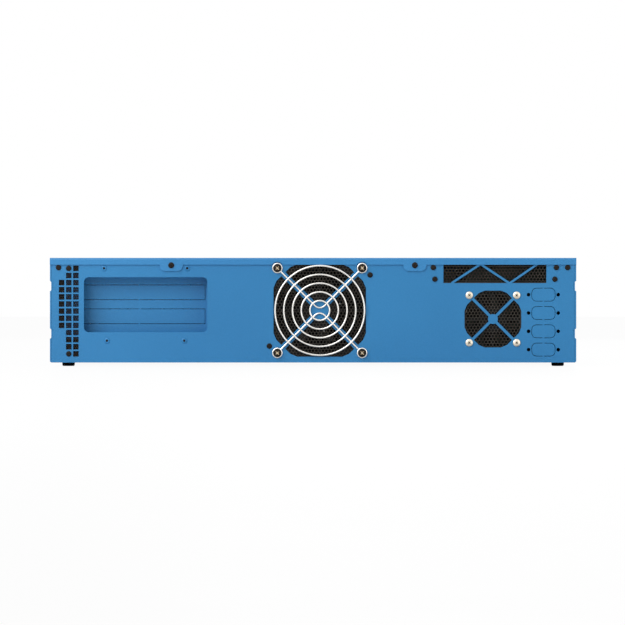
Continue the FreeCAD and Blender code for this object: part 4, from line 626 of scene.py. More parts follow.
def wire_guard():
    """The finger guard: five welded rings on two bent wires that end in eyes under the fan's screws."""
    x, height, reach = MAIN_FAN
    wire, eye = 0.8, 3.75
    ring_place, wire_place = rear_place(x, height, -2.3), rear_place(x, height, -0.9)
    parts = [start("torus", major_radius=(8.3 + 7.35 * n) * MM, minor_radius=wire * MM, location=ring_place,
                   rotation=TO_REAR, major_segments=56 + 12 * n, minor_segments=10) for n in range(5)]
    # From the middle: the bend's arc leaves the straight run 45 degrees either side of it
    bend, apex = 5.7 * MM, 2.35 * MM
    side_step = math.sin(math.radians(45)) * bend
    for rise in (1, -1):
        centre = wire_place + Vector((0, 0, rise * (apex + bend)))
        ends = []
        for side in (-1, 1):
            spot = centre + Vector((side * side_step, 0, -rise * side_step))
            way = Vector((side, 0, rise)).normalized()
            screw = wire_place + at(side * reach, 0, rise * reach)
            ends.append((spot, way * ((screw - spot).dot(way) - eye * MM)))
            parts.append(start("torus", major_radius=eye * MM, minor_radius=wire * MM, rotation=TO_REAR,
                               location=screw, major_segments=32, minor_segments=10))
        (spot, run), (_, other_run) = ends
        for turns in (False, True):
            rod = wire_end(spot, run.normalized(), wire)
            edit(rod, "VERT")
            if turns:
                bpy.ops.mesh.spin(steps=12, angle=math.radians(90), center=centre, axis=(0, rise, 0))
            extrude(other_run if turns else run)
            close()
            parts.append(rod)
    finished(tidy(join(*parts)), "wire_finger_guard", "case", "fan_guard", finish="chrome", smooth=60)


def cover_hem():
    """The hem folded down from the cover's front edge, which closes the seam over the front wall."""
    low, high = corners("top_cover")
    under, inside = high.z - SHEET, FRONT / MM - 12.6
    hem = brick((low.x + 14, inside - SHEET, under - 2.4), (high.x - 14, inside, under), "cover_coat_painted_lighter")
    reshape(hem, "EDGE", lambda spot, way: abs(way.x) > 0.9 and spot.z < (under - 1.2) * MM, bpy.ops.mesh.bevel,
            offset=0.4 * MM, segments=3, affect="EDGES")
    finished(hem, "cover_front_hem", "cover", slot="blue_paint")


def vent_brace():
    """The third brace of the upper vent, punched from the wall like the two beside it."""
    start_place, end_place = rear_place(165.5, 66.6), rear_place(189.8, 83.4)
    run = end_place - start_place
    brace = block((-run.length / 2, 0.02 * MM, -0.9 * MM), (run.length / 2, 1.18 * MM, 0.9 * MM), 0.12)
    brace = copy_to(brace, [(start_place + end_place) / 2], [(0, -math.atan2(run.z, run.x), 0)])
    finished(brace, "vent_brace_right", "case", finish="powder_coat")


def feet():
    """The four bumper feet: a moulded disc with a rounded lower edge and a well for its rivet."""
    low, high = corners("rubber_feet")
    radius = 5.35
    foot = turned([(radius, 3.3), (5.3, 1.1), (5.1, 0.45), (4.7, 0.1), (4.2, 0), (2.2, 0), (2.0, 0.25), (1.9, 1.6),
                   (0.02, 1.7)], 40)
    places = [at(x, y, 0) for x in (low.x + radius, high.x - radius) for y in (low.y + radius, high.y - radius)]
    finished(copy_to(foot, places), "bumper_feet", "case", "rubber_feet", finish="rubber", smooth=40)


# ---------------------------------------------------------------- front wall

def supply_inlet(number, x, middle):
    """The mains inlet of a supply: a moulded frame that lines the hollow in its case."""
    inlet = block(front_place(x + 5.1, middle - 8.1, -15.5), front_place(x + 28.9, middle + 8.1))
    edit(inlet, "FACE", lambda spot, way: way.y > 0.9)
    bpy.ops.mesh.inset(thickness=1.6 * MM)
    extrude(at(0, -13, 0))
    close()
    modify(inlet, "BEVEL", width=0.35 * MM, segments=2, limit_method="ANGLE")
    # Its wall is open beside the latch, which swings that way
    cut(inlet, block(front_place(x + 25.7, middle - 4.8, -12), front_place(x + 33, middle + 4.8, 1)))
    finished(inlet, f"supply_inlet_{number}", f"supply_{number}", finish="black_plastic", smooth=35)


def supply_screen(number, x, middle):
    """The screen over a supply's fan: hexagonal holes before a dark plate."""
    left, right, half = x - 35.5, x + 1, 17.5
    plate = brick((left, FRONT / MM - 0.1, middle - half), (right, FRONT / MM + 0.2, middle + half),
                  "black_plastic")
    finished(plate, f"supply_fan_shade_{number}", f"supply_{number}", slot="black_plastic", smooth=0)
    window = [((left + 1.5) * MM, (middle - 16) * MM), ((right - 1.5) * MM, (middle + 16) * MM)]
    screen = punched_sheet((left * MM, (middle - half) * MM), (right * MM, (middle + half) * MM), window,
                           FRONT + 0.2 * MM, 4.0, 3.3, 0.7)
    finished(screen, f"supply_fan_screen_{number}", f"supply_{number}", finish="tinned", smooth=0)


def supply_handle(number, middle):
    """The bail handle of a supply: one rod bent twice, with a rubber sleeve on its grip."""
    bottom, top = corners(f"psu_handle_{number}")
    rod, inset, bend = 1.7, 2.2, 6.0     # mm: its radius, its middle inside the node's box, the bends' radius
    reach, half, handle_x = top.y - FRONT / MM - inset, (top.z - bottom.z) / 2 - inset, (bottom.x + top.x) / 2
    side = reach - bend
    bail = wire_end(front_place(handle_x, middle - half), Vector((0, 1, 0)), rod, 14)
    edit(bail, "VERT")
    extrude((0, side * MM, 0))
    for way, run in ((-1, at(0, 0, 2 * (half - bend))), (1, at(0, -side, 0))):
        bpy.ops.mesh.spin(steps=10, angle=math.radians(90), axis=(1, 0, 0),
                          center=front_place(handle_x, middle + way * (half - bend), side))
        extrude(run)
    close()
    paint(tidy(bail), "chrome")
    sleeve = drum([(rod, -9), (2.1, -8.6), (2.2, -7), (2.2, 7), (2.1, 8.6), (rod, 9)],
                  front_place(handle_x, middle, reach), "rubber")
    collars = [drum([(3.4, 0), (3.3, 0.9), (2.7, 1.4), (rod, 1.6)], front_place(handle_x, middle + way * half),
                    "nickel", TO_FRONT) for way in (-1, 1)]
    finished(join(bail, sleeve, *collars), f"supply_bail_handle_{number}", f"supply_{number}",
             f"psu_handle_{number}", slot="black_plastic", smooth=50)


def supply_latch(number, middle):
    """The thumb latch of a supply, ribbed where the thumb pushes it."""
    latch = eased(f"psu_latch_{number}", 0.6)
    high = corners(f"psu_latch_{number}")[1]
    rib = brick((high.x - 0.5, high.y - 7.4, middle - 6), (high.x - 0.02, high.y - 1.5, middle - 5.2),
                "red_plastic")
    rows_of(rib, (6, (0, 0, 2.24)))
    finished(join(paint(latch, "red_plastic"), rib), f"supply_thumb_latch_{number}", f"latch_{number}",
             f"psu_latch_{number}", slot="grey_plastic", smooth=40)


def supplies():
    """What the two plug-in supplies show: an inlet, a screen, a bail handle, a thumb latch and a lamp each."""
    for number in (1, 2):
        low, high = corners(f"psu_housing_{number}")
        x, middle = (low.x + high.x) / 2, (low.z + high.z) / 2
        supply_inlet(number, x, middle)
        supply_screen(number, x, middle)
        supply_handle(number, middle)
        supply_latch(number, middle)
        lamp = drum([(1.6, -0.2), (1.6, 0.3), (1.2, 0.7), (0.02, 0.9)], front_place(x + 4.4, middle - 12), "lens",
                    TO_FRONT, 20)
        finished(lamp, f"supply_lamp_{number}", f"supply_{number}", slot="light_lens", smooth=35)


def network_sockets():
    """Two network sockets: a tinned shell, a stepped mouth with eight gilt springs, and two lamps."""
    low, high = corners("network_ports")
    face, base = FRONT / MM, low.z
    shell = brick((low.x, low.y, base), (low.x + 16, face, high.z), "tinned", 0.3)
    middle = low.x + 8
    mouth = [block(at(middle - 5.85, face - 13, base + 3.2), at(middle + 5.85, face + 1, base + 10.9)),
             block(at(middle - 3, face - 13, base + 1.9), at(middle + 3, face + 1, base + 3.4)),
             block(at(middle - 1.7, face - 13, base + 1.0), at(middle + 1.7, face + 1, base + 2.1))]
    for side in (-1, 1):
        mouth.append(block(at(middle + side * 6.1 - 1.5, face - 2, base + 11.3),
                           at(middle + side * 6.1 + 1.5, face + 1, base + 12.8)))
    cut(shell, *mouth)
    lining = brick((middle - 5.84, face - 13.0, base + 3.0), (middle + 5.84, face - 12.6, base + 10.9), "black_plastic")
    spring = brick((middle - 3.73, face - 12.4, base + 10.2), (middle - 3.35, face - 2.5, base + 10.5), "gold")
    reshape(spring, "FACE", lambda spot, way: way.y < -0.9, bpy.ops.transform.translate, value=(0, 0, -5 * MM))
    rows_of(spring, (8, (1.02, 0, 0)))
    lamps = [brick((middle + side * 6.1 - 1.4, face - 1.6, base + 11.4),
                   (middle + side * 6.1 + 1.4, face + 0.05, base + 12.7), "lens", 0.25) for side in (-1, 1)]
    ports = copy_to(join(shell, lining, spring, *lamps), [at(0, 0, 0), at(20, 0, 0)])
    finished(ports, "network_sockets", "case", "network_ports", slot="galvanised_steel")


def serial_sockets():
    """Two stacks of two serial bus sockets: a tinned shell with its clips, and blue tongues with gilt pads."""
    low, high = corners("usb_ports")
    face, base = FRONT / MM, low.z
    stack = brick((low.x, low.y, base), (low.x + 14, face + 0.2, high.z), "tinned", 0.3)
    middle = low.x + 7
    hollows, tongues = [], []
    for level in (base + 4, base + 12):
        hollows.append(block(at(middle - 6, face - 12, level - 2.2), at(middle + 6, face + 1, level + 2.2)))
        tongues.append(brick((middle - 5.4, face - 12.1, level), (middle + 5.4, face - 1, level + 1.7),
                             "blue_plastic", 0.2))
        pad = brick((middle - 4.0, face - 9, level - 0.12), (middle - 2.8, face - 1.6, level + 0.1), "gold")
        tongues.append(rows_of(pad, (4, (2.27, 0, 0))))
        for side in (-1, 1):
            tongues.append(brick((middle + side * 3 - 0.8, face - 6, level - 2.25),
                                 (middle + side * 3 + 0.8, face - 2, level - 1.7), "tinned", 0.2))
    cut(stack, *hollows)
    stacks = copy_to(join(stack, *tongues), [at(0, 0, 0), at(20, 0, 0)])
    finished(stacks, "serial_sockets", "case", "usb_ports", slot="galvanised_steel")


def video_socket():
    """The video socket: a D-shaped tinned shell round a blue block with fifteen contacts, and two jack nuts."""
    low, high = corners("video_port")
    face, middle, height = FRONT / MM, (low.x + high.x) / 2, (low.z + high.z) / 2
    body = brick((low.x, low.y, low.z), (high.x, face - 2.4, high.z), "black_plastic", 0.4)
    flange = brick((low.x, face - 2.4, low.z), (high.x, face - 1.3, high.z), "tinned", 0.3)
    shell = block(at(middle - 8.1, face - 1.4, height - 4.2), at(middle + 8.1, face + 3.6, height + 4.2))
    reshape(shell, "EDGE", lambda spot, way: abs(way.y) > 0.9, bpy.ops.mesh.bevel, offset=1.6 * MM, segments=5,
            affect="EDGES")
    reshape(shell, "FACE", lambda spot, way: way.z < -0.9, bpy.ops.transform.resize, value=(0.86, 1, 1))
    edit(shell, "FACE", lambda spot, way: way.y > 0.9)
    bpy.ops.mesh.inset(thickness=0.5 * MM)
    extrude((0, -5 * MM, 0))
    close()
    insert = block(at(middle - 7.0, face - 1.4, height - 3.2), at(middle + 7.0, face + 2.6, height + 3.2), 0.5)
    holes = []
    for row in range(3):
        hole = start("cylinder", vertices=8, radius=0.5 * MM, depth=3 * MM, rotation=TO_FRONT,
                     location=at(middle - 4.6 + (row % 2) * 0.5, face + 2.6, height - 2 + row * 2))
        holes.append(rows_of(hole, (5, (2.2, 0, 0))))
    cut(insert, *holes)
    nuts = []
    for side in (-1, 1):
        nut = start("cylinder", vertices=6, radius=2.7 * MM, depth=4.4 * MM, rotation=TO_FRONT,
                    location=at(middle + side * 12.3, face + 0.9, height))
        modify(nut, "BEVEL", width=0.3 * MM, segments=2)
        hole = start("cylinder", vertices=16, radius=1.3 * MM, depth=4 * MM, rotation=TO_FRONT,
                     location=at(middle + side * 12.3, face + 2.2, height))
        nuts.append(paint(cut(nut, hole), "nickel"))
    port = join(body, flange, paint(shell, "tinned"), paint(insert, "blue_plastic"), *nuts)
    finished(port, "video_socket", "case", "video_port", slot="galvanised_steel")


def socket_shield():
    """The pressed shield round the sockets, with a punched field above them and two raised ribs."""
    shield = eased("io_shield", 0.08, steps=1)
    low, high = corners("io_shield")
    hexagon = start("cylinder", vertices=6, radius=2.0 * MM, depth=6 * MM, rotation=TO_FRONT,
                    location=at(low.x + 12, FRONT / MM - 1, low.z + 24))
    rows_of(hexagon, (2, (2.4, 0, 4.2)), (28, (4.8, 0, 0)), (2, (0, 0, 8.4)))
    cut(shield, hexagon)
    ribs = [brick((low.x + 6, FRONT / MM - 1.0, z - 0.7), (high.x - 6, FRONT / MM - 0.35, z + 0.7), "tinned", 0.3)
            for z in (low.z + 2.4, high.z - 2.4)]
    # Black foam closes the shield's punched field against dust
    foam = brick((low.x + 9, FRONT / MM - 2.0, low.z + 20), (high.x - 9, FRONT / MM - 1.25, high.z - 4),
                 "fan_plastic", 0.2)
    finished(join(paint(shield, "tinned"), *ribs, foam), "socket_shield_plate", "case", "io_shield",
             slot="galvanised_steel")


def drive_fronts():
    """The drive trays in grey moulding, and their black levers with pull ribs and a pale mark."""
    for number in (1, 2):
        tray = eased(f"drive_tray_{number}", 0.5)
        finished(paint(tray, "grey_plastic"), f"drive_tray_shell_{number}", f"tray_{number}",
                 f"drive_tray_{number}", slot="grey_plastic")
        lever = eased(f"tray_lever_{number}", 0.5)
        low, high = corners(f"tray_lever_{number}")
        end, tip = high.x, (low.z + high.z) / 2
        grip = brick((end - 9, high.y - 0.6, tip - 3.4), (end - 8.1, high.y, tip + 3.4), "black_plastic", 0.2)
        rows_of(grip, (4, (1.9, 0, 0)))
        mark = brick((low.x + 10, high.y - 0.3, tip - 2.6), (low.x + 24, high.y - 0.02, tip + 2.6), "lens", 0.25)
        finished(join(paint(lever, "black_plastic"), grip, mark), f"tray_lever_arm_{number}", f"lever_{number}",
                 f"tray_lever_{number}", slot="grey_plastic")


def switches_and_lamps():
    """The power and reset switches with dished caps, and three domed lenses."""
    for node_name, name, body, radius, finish, lit in (
        ("power_button", "power_switch_cap", "power_switch", 5.0, "grey_plastic", True),
        ("reset_button", "reset_switch_cap", "reset_switch", 2.5, "black_plastic", False),
    ):
        low, high = corners(node_name)
        place = front_place((low.x + high.x) / 2, (low.z + high.z) / 2)
        reach, flange = high.y - FRONT / MM, (high.x - low.x) / 2
        parts = [drum([(radius * 0.7, -7), (radius, -7), (radius, -2.8), (flange, -2.8), (flange, -1.6),
                       (radius, -1.6), (radius, reach - 0.4), (radius - 0.12, reach - 0.1), (radius - 0.45, reach),
                       (radius - 0.9, reach - 0.05), (radius * 0.4, reach - 0.5), (0.02, reach - 0.6)],
                      place, finish, TO_FRONT, 40)]
        if lit:
            parts.append(drum([(3.1, reach - 0.45), (3.1, reach - 0.12), (2.6, reach - 0.12), (2.6, reach - 0.6)],
                              place, "lens", TO_FRONT, 32))
        finished(join(*parts), name, body, node_name, slot=finish, smooth=35)
    low, high = corners("status_lights")
    lens = turned([(1.4, -4), (1.4, 0.1), (1.2, 0.6), (0.7, 0.95), (0.02, 1.05)], 24)
    places = [front_place(low.x + 1.5 + 6 * number, (low.z + high.z) / 2) for number in range(3)]
    finished(copy_to(lens, places, [TO_FRONT] * 3), "status_lenses", "case", "status_lights", finish="lens",
             smooth=50)


# ---------------------------------------------------------------- fans

def fan_rotor(node_name, name, body, hub, blades):
    """A fan's rotor: a cup with a rounded rim, and blades that sweep forward and lie flatter towards their tips."""
    low, high = corners(node_name)
    tip, depth = (high.x - low.x) / 2, high.y - low.y
    root, play, length, arch = 0.6, 0.4, 0.62 * depth, 1.1    # mm: inside the cup, off both faces, along, crown
    slope, flatter, sweep = 54, 20, 16                        # degrees: at the hub, lost by the tip, forward
    cup = turned([(hub * 0.9, 0), (hub - 0.4, 0.3), (hub, 1.2), (hub, depth - 0.6), (hub - 0.5, depth)], 48)
    blade = start("plane", size=1)
    blade.scale = ((tip - hub + root) * MM, length * MM, 1)
    blade.location = ((tip + hub - root) / 2 * MM, 0, 0)
    reshape(settle(blade), "FACE", None, bpy.ops.mesh.subdivide, number_cuts=6)
    for vertex in blade.data.vertices:
        spot = vertex.co / MM
        share = max((spot.x - hub) / (tip - hub), 0)
        steep, swing = math.radians(slope - flatter * share), math.radians(sweep) * share ** 1.4
        chord = spot.y * (1.05 + 0.6 * share)
        crown = (1 - (spot.y / (length / 2)) ** 2) * arch
        turn = swing + (chord * math.cos(steep) + crown * math.sin(steep)) / spot.x
        height = depth / 2 + chord * math.sin(steep)
        vertex.co = at(spot.x * math.cos(turn), spot.x * math.sin(turn), max(play, min(depth - play, height)))
    modify(blade, "SOLIDIFY", thickness=1.1 * MM, offset=0)
    turns = [(0, 0, 2 * math.pi * n / blades) for n in range(blades)]
    rotor = join(cup, copy_to(blade, [at(0, 0, 0)] * blades, turns))
    rotor = copy_to(rotor, [at((low.x + high.x) / 2, high.y, (low.z + high.z) / 2)], [TO_REAR])
    finished(rotor, name, body, node_name, finish="fan_plastic", smooth=40)


# ---------------------------------------------------------------- what stands on the boards

def chip(x, y, z, wide, long, high, legs=0):
    """A moulded chip with its corners eased, and rows of bent tin legs where it has them."""
    parts = [brick((x - wide / 2, y - long / 2, z + 0.1), (x + wide / 2, y + long / 2, z + high), "chip_epoxy", 0.15,
                   1)]
    if legs:
        pitch, first = (long - 1) / legs, y - long / 2 + 0.5
        for edge in (x - wide / 2, x + wide / 2):
            leg = brick((edge - 0.5, first, z), (edge + 0.5, first + pitch * 0.45, z + 0.35 * high), "tinned")
            parts.append(rows_of(leg, (legs, (0, pitch, 0))))
    return join(*parts)


def converters(top):
    """The voltage converters beside the processor: moulded coils, cans, and a finned strip on their switches."""
    coil = brick((-46, -18, top), (-38, -10, top + 7), "chip_epoxy", 0.7)
    ends = brick((-45.2, -18.3, top), (-38.8, -9.7, top + 2), "copper", 0.2)
    can = drum([(3.3, 0), (3.3, 0.8), (3.05, 1.2), (3.3, 1.6), (3.3, 8), (3.0, 8.6), (0.02, 8.6)],
               at(-33, -14, top), "tinned")
    small_can = drum([(2.6, 0), (2.6, 6.2), (2.3, 6.7), (0.02, 6.7)], at(-20, 76, top), "tinned", sides=20)
    fin = brick((-60, -20, top + 4.9), (-59.1, 60, top + 17), "aluminium", 0.15, 1)
    return [
        rows_of(join(coil, ends), (7, (0, 11, 0))), rows_of(can, (7, (0, 11, 0))), rows_of(small_can, (6, (8, 0, 0))),
        brick((-60, -20, top + 1.2), (-49, 60, top + 5), "aluminium", 0.3), rows_of(fin, (6, (2.02, 0, 0))),
    ]


def soldered_chips(top):
    """The chipset with its finned cooler, and the smaller chips."""
    fin = brick((-83.4, 86.6, top + 4.9), (-82, 119.4, top + 14), "aluminium", 0.15, 1)
    parts = [brick((-84, 86, top + 2), (-50, 120, top + 5), "aluminium", 0.4), rows_of(fin, (9, (3.95, 0, 0))),
             chip(-67, 103, top, 26, 26, 2.1)]
    # Chips: place, width, length, height and the legs of each side
    for x, y, wide, long, high, legs in (
        (-84, 20, 7, 9, 1.6, 8), (-84, 62, 9, 9, 1.2, 0), (-70, 76, 5, 5, 1.2, 0), (-40, 150, 14, 14, 1.4, 0),
        (-72, 150, 10, 10, 1.2, 0), (50, 176, 12, 12, 1.3, 0), (72, 176, 9, 9, 1.2, 0), (18, 180, 7, 9, 1.5, 8),
        (-92, 90, 5, 6, 1.5, 4), (116, 140, 8, 8, 1.2, 0), (108, -20, 6, 8, 1.5, 6), (-22, 172, 10, 10, 1.3, 0),
        (118, 86, 7, 7, 1.2, 0), (20, 96, 6, 6, 1.1, 0), (-6, 110, 5, 7, 1.3, 6), (52, 128, 6, 8, 1.4, 6),
    ):
        parts.append(chip(x, y, top, wide, long, high, legs))
    return parts


def board_sockets(top):
    """The sockets for the supplies' leads, wire headers, and stacked drive sockets."""
    parts = []
    # The sockets for the supplies' leads: 24 ways beside the memory and 8 ways at the rear
    pitch = 4.2
    for x, y, columns, rows in ((117, 24, 2, 12), (88, -30.5, 4, 2)):
        left, low = x - columns * pitch / 2 - 0.6, y - rows * pitch / 2 - 0.6
        shell = brick((left, low, top), (left + columns * pitch + 1.2, low + rows * pitch + 1.2, top + 11),
                      "pale_plastic", 0.3)
        well = brick((left + 1, low + 1, top + 4), (left + 4.4, low + 4.4, top + 12), "black_plastic")
        cut(shell, grid_of(well, columns, rows, pitch, pitch))
        prong = brick((left + 2.3, low + 2.3, top + 4), (left + 3.2, low + 3.2, top + 9), "gold")
        parts += [shell, grid_of(prong, columns, rows, pitch, pitch)]
    # Wire headers along the right edge, and stacked drive sockets
    pitch = 2.54
    for x, y, columns, rows in ((124, 150, 2, 5), (124, 168, 2, 9), (-104, 160, 2, 8), (104, 118, 1, 4),
                                (-24, 84, 1, 4)):
        base = brick((x, y, top), (x + pitch * columns, y + pitch * rows, top + 2.5), "black_plastic", 0.2, 1)
        prong = brick((x + 0.95, y + 0.95, top + 2), (x + 1.59, y + 1.59, top + 8.2), "gold")
        parts += [base, grid_of(prong, columns, rows, pitch, pitch)]
    for x, y in ((104, 178), (113, 178), (104, 156), (113, 156)):
        socket = brick((x, y, top), (x + 7, y + 16, top + 8.5), "black_plastic", 0.3)
        parts.append(cut(socket, block(at(x + 1.6, y + 1.8, top + 3), at(x + 3.4, y + 14.2, top + 9))))
    return parts


def small_parts(top):
    """Resistors and capacitors in their rows."""
    parts = []
    # Place, columns, rows and steps
    for x, y, columns, rows, across, along in (
        (-30, 54, 10, 2, 2.6, 2.2), (-30, -8, 2, 12, 2.4, 4.2), (42, -6, 2, 12, 2.4, 4.2), (-92, 128, 12, 3, 2.4, 2.0),
        (-60, 132, 8, 4, 2.6, 2.2), (100, 0, 2, 20, 2.2, 5), (100, 60, 3, 10, 2.4, 3.6), (-96, -20, 3, 9, 2.6, 4),
        (-30, 126, 14, 3, 2.6, 2.4), (60, 150, 14, 3, 2.8, 2.6), (-90, 0, 8, 2, 2.6, 2.4), (0, 140, 10, 3, 2.6, 2.4),
        (40, 84, 8, 4, 2.4, 2.4), (56, 116, 14, 2, 2.6, 2.2),
    ):
        grain = brick((x, y, top), (x + 1.6, y + 0.9, top + 0.7), "tinned")
        belly = brick((x + 0.35, y - 0.05, top), (x + 1.25, y + 0.95, top + 0.78), "chip_epoxy")
        parts.append(grid_of(join(grain, belly), columns, rows, across, along))
    return parts


def main_board_parts():
    """What is soldered to the main board, and the cell in its holder."""
    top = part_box("mainboard")[1].z / MM
    parts = converters(top) + soldered_chips(top)
    cell_place = at(-76, 178, top)
    parts.append(drum([(11.5, 0), (11.5, 3.2), (10.4, 3.6), (10.2, 2.8)], cell_place, "black_plastic", sides=40))
    parts.append(drum([(10, 1.2), (10, 4), (9.6, 4.4), (7.5, 4.4), (7.3, 4.55), (0.02, 4.55)], cell_place, "nickel",
                      sides=40))
    parts += board_sockets(top)
    # A drive card flat on the board
    parts.append(brick((-94, 24, top + 2.6), (-72, 56, top + 3.4), "solder_mask"))
    parts += small_parts(top)
    finished(join(*parts), "main_board_parts", "case", slot="circuit_board")


def memory_parts():
    """The memory: slots with a latch at each end, and modules with their chips and gilt edges."""
    low, high = corners("memory_slots")
    row, half = (4, (9.5, 0, 0)), 3.25
    middle = low.x + half
    slot = brick((low.x, low.y, low.z), (middle + half, high.y, high.z), "black_plastic", 0.4)
    cut(slot, block(at(middle - 0.85, low.y + 6.6, low.z + 4.5), at(middle + 0.85, high.y - 6.6, high.z + 1)))
    latches = []
    for start_y, lean in ((low.y, -1.2), (high.y - 5, 1.2)):
        latch = brick((middle - 2.6, start_y, high.z - 1), (middle + 2.6, start_y + 5, high.z + 9), "pale_plastic",
                      0.5)
        reshape(latch, "FACE", lambda spot, way: way.z > 0.9, bpy.ops.transform.translate, value=(0, lean * MM, 0))
        latches.append(latch)
    finished(rows_of(join(slot, *latches), row), "memory_slot_row", "case", "memory_slots", slot="black_plastic")

    low, high = corners("memory_modules")
    parts = [brick((middle - 0.65, low.y, low.z), (middle + 0.65, high.y, high.z), "solder_mask", 0.1, 1)]
    for side in (-1, 1):
        face = middle + side * 1.05
        die = brick((face - 0.45, low.y + 6, high.z - 17), (face + 0.45, low.y + 16, high.z - 5), "chip_epoxy", 0.15,
                    1)
        face = middle + side * 0.7
        pad = brick((face - 0.06, low.y + 3, low.z + 0.2), (face + 0.06, low.y + 3.7, low.z + 3), "gold")
        parts += [rows_of(die, (9, (0, 12.6, 0))), rows_of(pad, (60, (0, 2.05, 0)))]
    finished(rows_of(join(*parts), row), "memory_module_row", "case", "memory_modules", slot="circuit_board")


def processor_cooler():
    """The processor's cooler: eased fins on a copper foot, and four sprung screws."""
    cooler = paint(eased("cpu_heatsink", 0.12, steps=1), "aluminium")
    low, high = corners("cpu_heatsink")
    foot = brick((low.x + 14, low.y + 20, low.z), (high.x - 14, high.y - 20, low.z + 1.2), "copper", 0.2)
    parts = [cooler, foot]
    for x in (low.x + 5, high.x - 5):
        for y in (low.y + 8, high.y - 8):
            parts.append(drum([(3.4, 7.0), (3.4, 9.6), (2.9, 10.2), (0.02, 10.2)], at(x, y, low.z), "nickel"))
            coil = start("torus", major_radius=2.3 * MM, minor_radius=0.35 * MM, location=at(x, y, low.z - 4.6),
                         major_segments=20, minor_segments=6)
            rows_of(coil, (5, (0, 0, 1.0)))
            parts.append(paint(coil, "nickel"))
    finished(join(*parts), "processor_cooler_fins", "case", "cpu_heatsink", slot="aluminium")


def graphics_card():
    """The graphics card's shroud with its pressed panel, ribs and screws, and what its board carries."""
    low, high = corners("gpu_shroud")
    shroud = paint(eased("gpu_shroud", 0.35, angle=50), "black_steel")
    panel = brick((low.x + 8, low.y + 14, high.z - 0.3), (high.x - 8, high.y - 40, high.z + 0.6), "black_steel", 0.4)
    ribs = brick((low.x + 16, high.y - 34, high.z - 0.4), (low.x + 18.6, high.y - 8, high.z + 0.6), "black_steel", 0.4)
    rows_of(ribs, (11, (6.6, 0, 0)))
    heads = heads_at((low.x + 4, high.x - 4), (low.y + 5, (low.y + high.y) / 2, high.y - 5), high.z,
                     [(2.0, -0.6), (1.9, -0.1), (1.2, 0.0), (1.0, -0.3), (0.02, -0.3)], "nickel")
    finished(join(shroud, panel, ribs, *heads), "card_shroud", "case", "gpu_shroud", slot="black_steel")
    low, high = corners("gpu_board")
    board = paint(eased("gpu_board", 0.1, steps=1), "solder_mask")
    plate = brick((low.x + 6, low.y + 8, low.z - 1.6), (low.x + 98, high.y - 10, low.z - 0.5), "black_steel", 0.3)
    stubs = brick((low.x + 9, low.y + 12, low.z - 2.2), (low.x + 12, low.y + 15, low.z - 0.4), "nickel", 0.4)
    rows_of(stubs, (2, (82, 0, 0)), (4, (0, 76, 0)))
    fingers = brick((high.x - 6.4, 18, high.z - 0.05), (high.x - 0.4, 18.7, high.z + 0.05), "gold")
    rows_of(fingers, (82, (0, 1.0, 0)), (2, (0, 0, -1.6)))
    plug = brick((low.x + 12, low.y + 1, high.z), (low.x + 31, low.y + 10, high.z + 9), "black_plastic", 0.4)
    wells = block(at(low.x + 13.2, low.y, high.z + 1), at(low.x + 16.4, low.y + 4, high.z + 4.2))
    rows_of(wells, (4, (4.2, 0, 0)), (2, (0, 0, 4)))
    cut(plug, wells)
    coil = brick((low.x + 38, low.y + 8, high.z), (low.x + 46, low.y + 16, high.z + 6), "chip_epoxy", 0.6)
    rows_of(coil, (6, (10, 0, 0)))
    finished(join(board, plate, stubs, fingers, plug, coil), "card_board_parts", "case", "gpu_board",
             slot="circuit_board")


def intake_filter():
    """The black foam behind the front intake, which keeps dust off the card."""
    low, high = corners("intake_mesh")
    foam = brick((low.x + 1, low.y - 2.6, low.z + 1), (high.x - 1, low.y - 0.3, high.z - 1), "fan_plastic", 0.3)
    finished(foam, "intake_dust_filter", "case", slot="black_plastic", smooth=35)


def risers():
    """The two risers and the card slot: boards with black connectors, each with its row of gilt springs."""
    slot = paint(eased("gpu_slot", 0.3), "black_plastic")
    finished(slot, "card_slot_socket", "case", "gpu_slot", slot="black_plastic")
    # Each board: its connectors' heights and start, how thick their ends and backs are, their springs' end and
    # count, the chips' places and height, and the side they stand on
    length = 89
    for node_name, name, heights, first, edge, back, spring_end, springs, chips, chip_z, way in (
        ("gpu_riser", "card_riser_board", (45.1,), 28, 1.5, 2.6, 3, 84, (22.5, 52.5, 82.5, 112.5), 53.1, 1),
        ("rear_riser", "spare_riser_board", (42.3, 62.62), 6, 2.0, 3.0, 4, 82, (20, 50, 80), 70, -1),
    ):
        low, high = corners(node_name)
        parts = [brick((high.x - 1.6, low.y, low.z), (high.x, high.y, high.z), "solder_mask", 0.1, 1)]
        start_y, inner = low.y + first, high.x - back
        for z in heights:
            shell = brick((low.x, start_y, z - 4.5), (high.x - 1.6, start_y + length, z + 4.5), "black_plastic", 0.4)
            cut(shell, block(at(low.x - 1, start_y + edge, z - 0.95), at(inner, start_y + length - edge, z + 0.95)))
            spring_y = start_y + edge + 1
            spring = brick((low.x + 0.6, spring_y, z + 0.75), (high.x - spring_end, spring_y + 0.6, z + 0.95), "gold")
            parts += [shell, rows_of(spring, (2, (0, 0, -1.7)), (springs, (0, 1.0, 0)))]
        face = high.x if way > 0 else low.x + 11
        parts += [brick((min(face, face + way * 1.2), low.y + place - 4, chip_z - 4),
                        (max(face, face + way * 1.2), low.y + place + 4, chip_z + 4), "chip_epoxy", 0.15, 1)
                  for place in chips]
        finished(join(*parts), name, "case", node_name, slot="circuit_board")


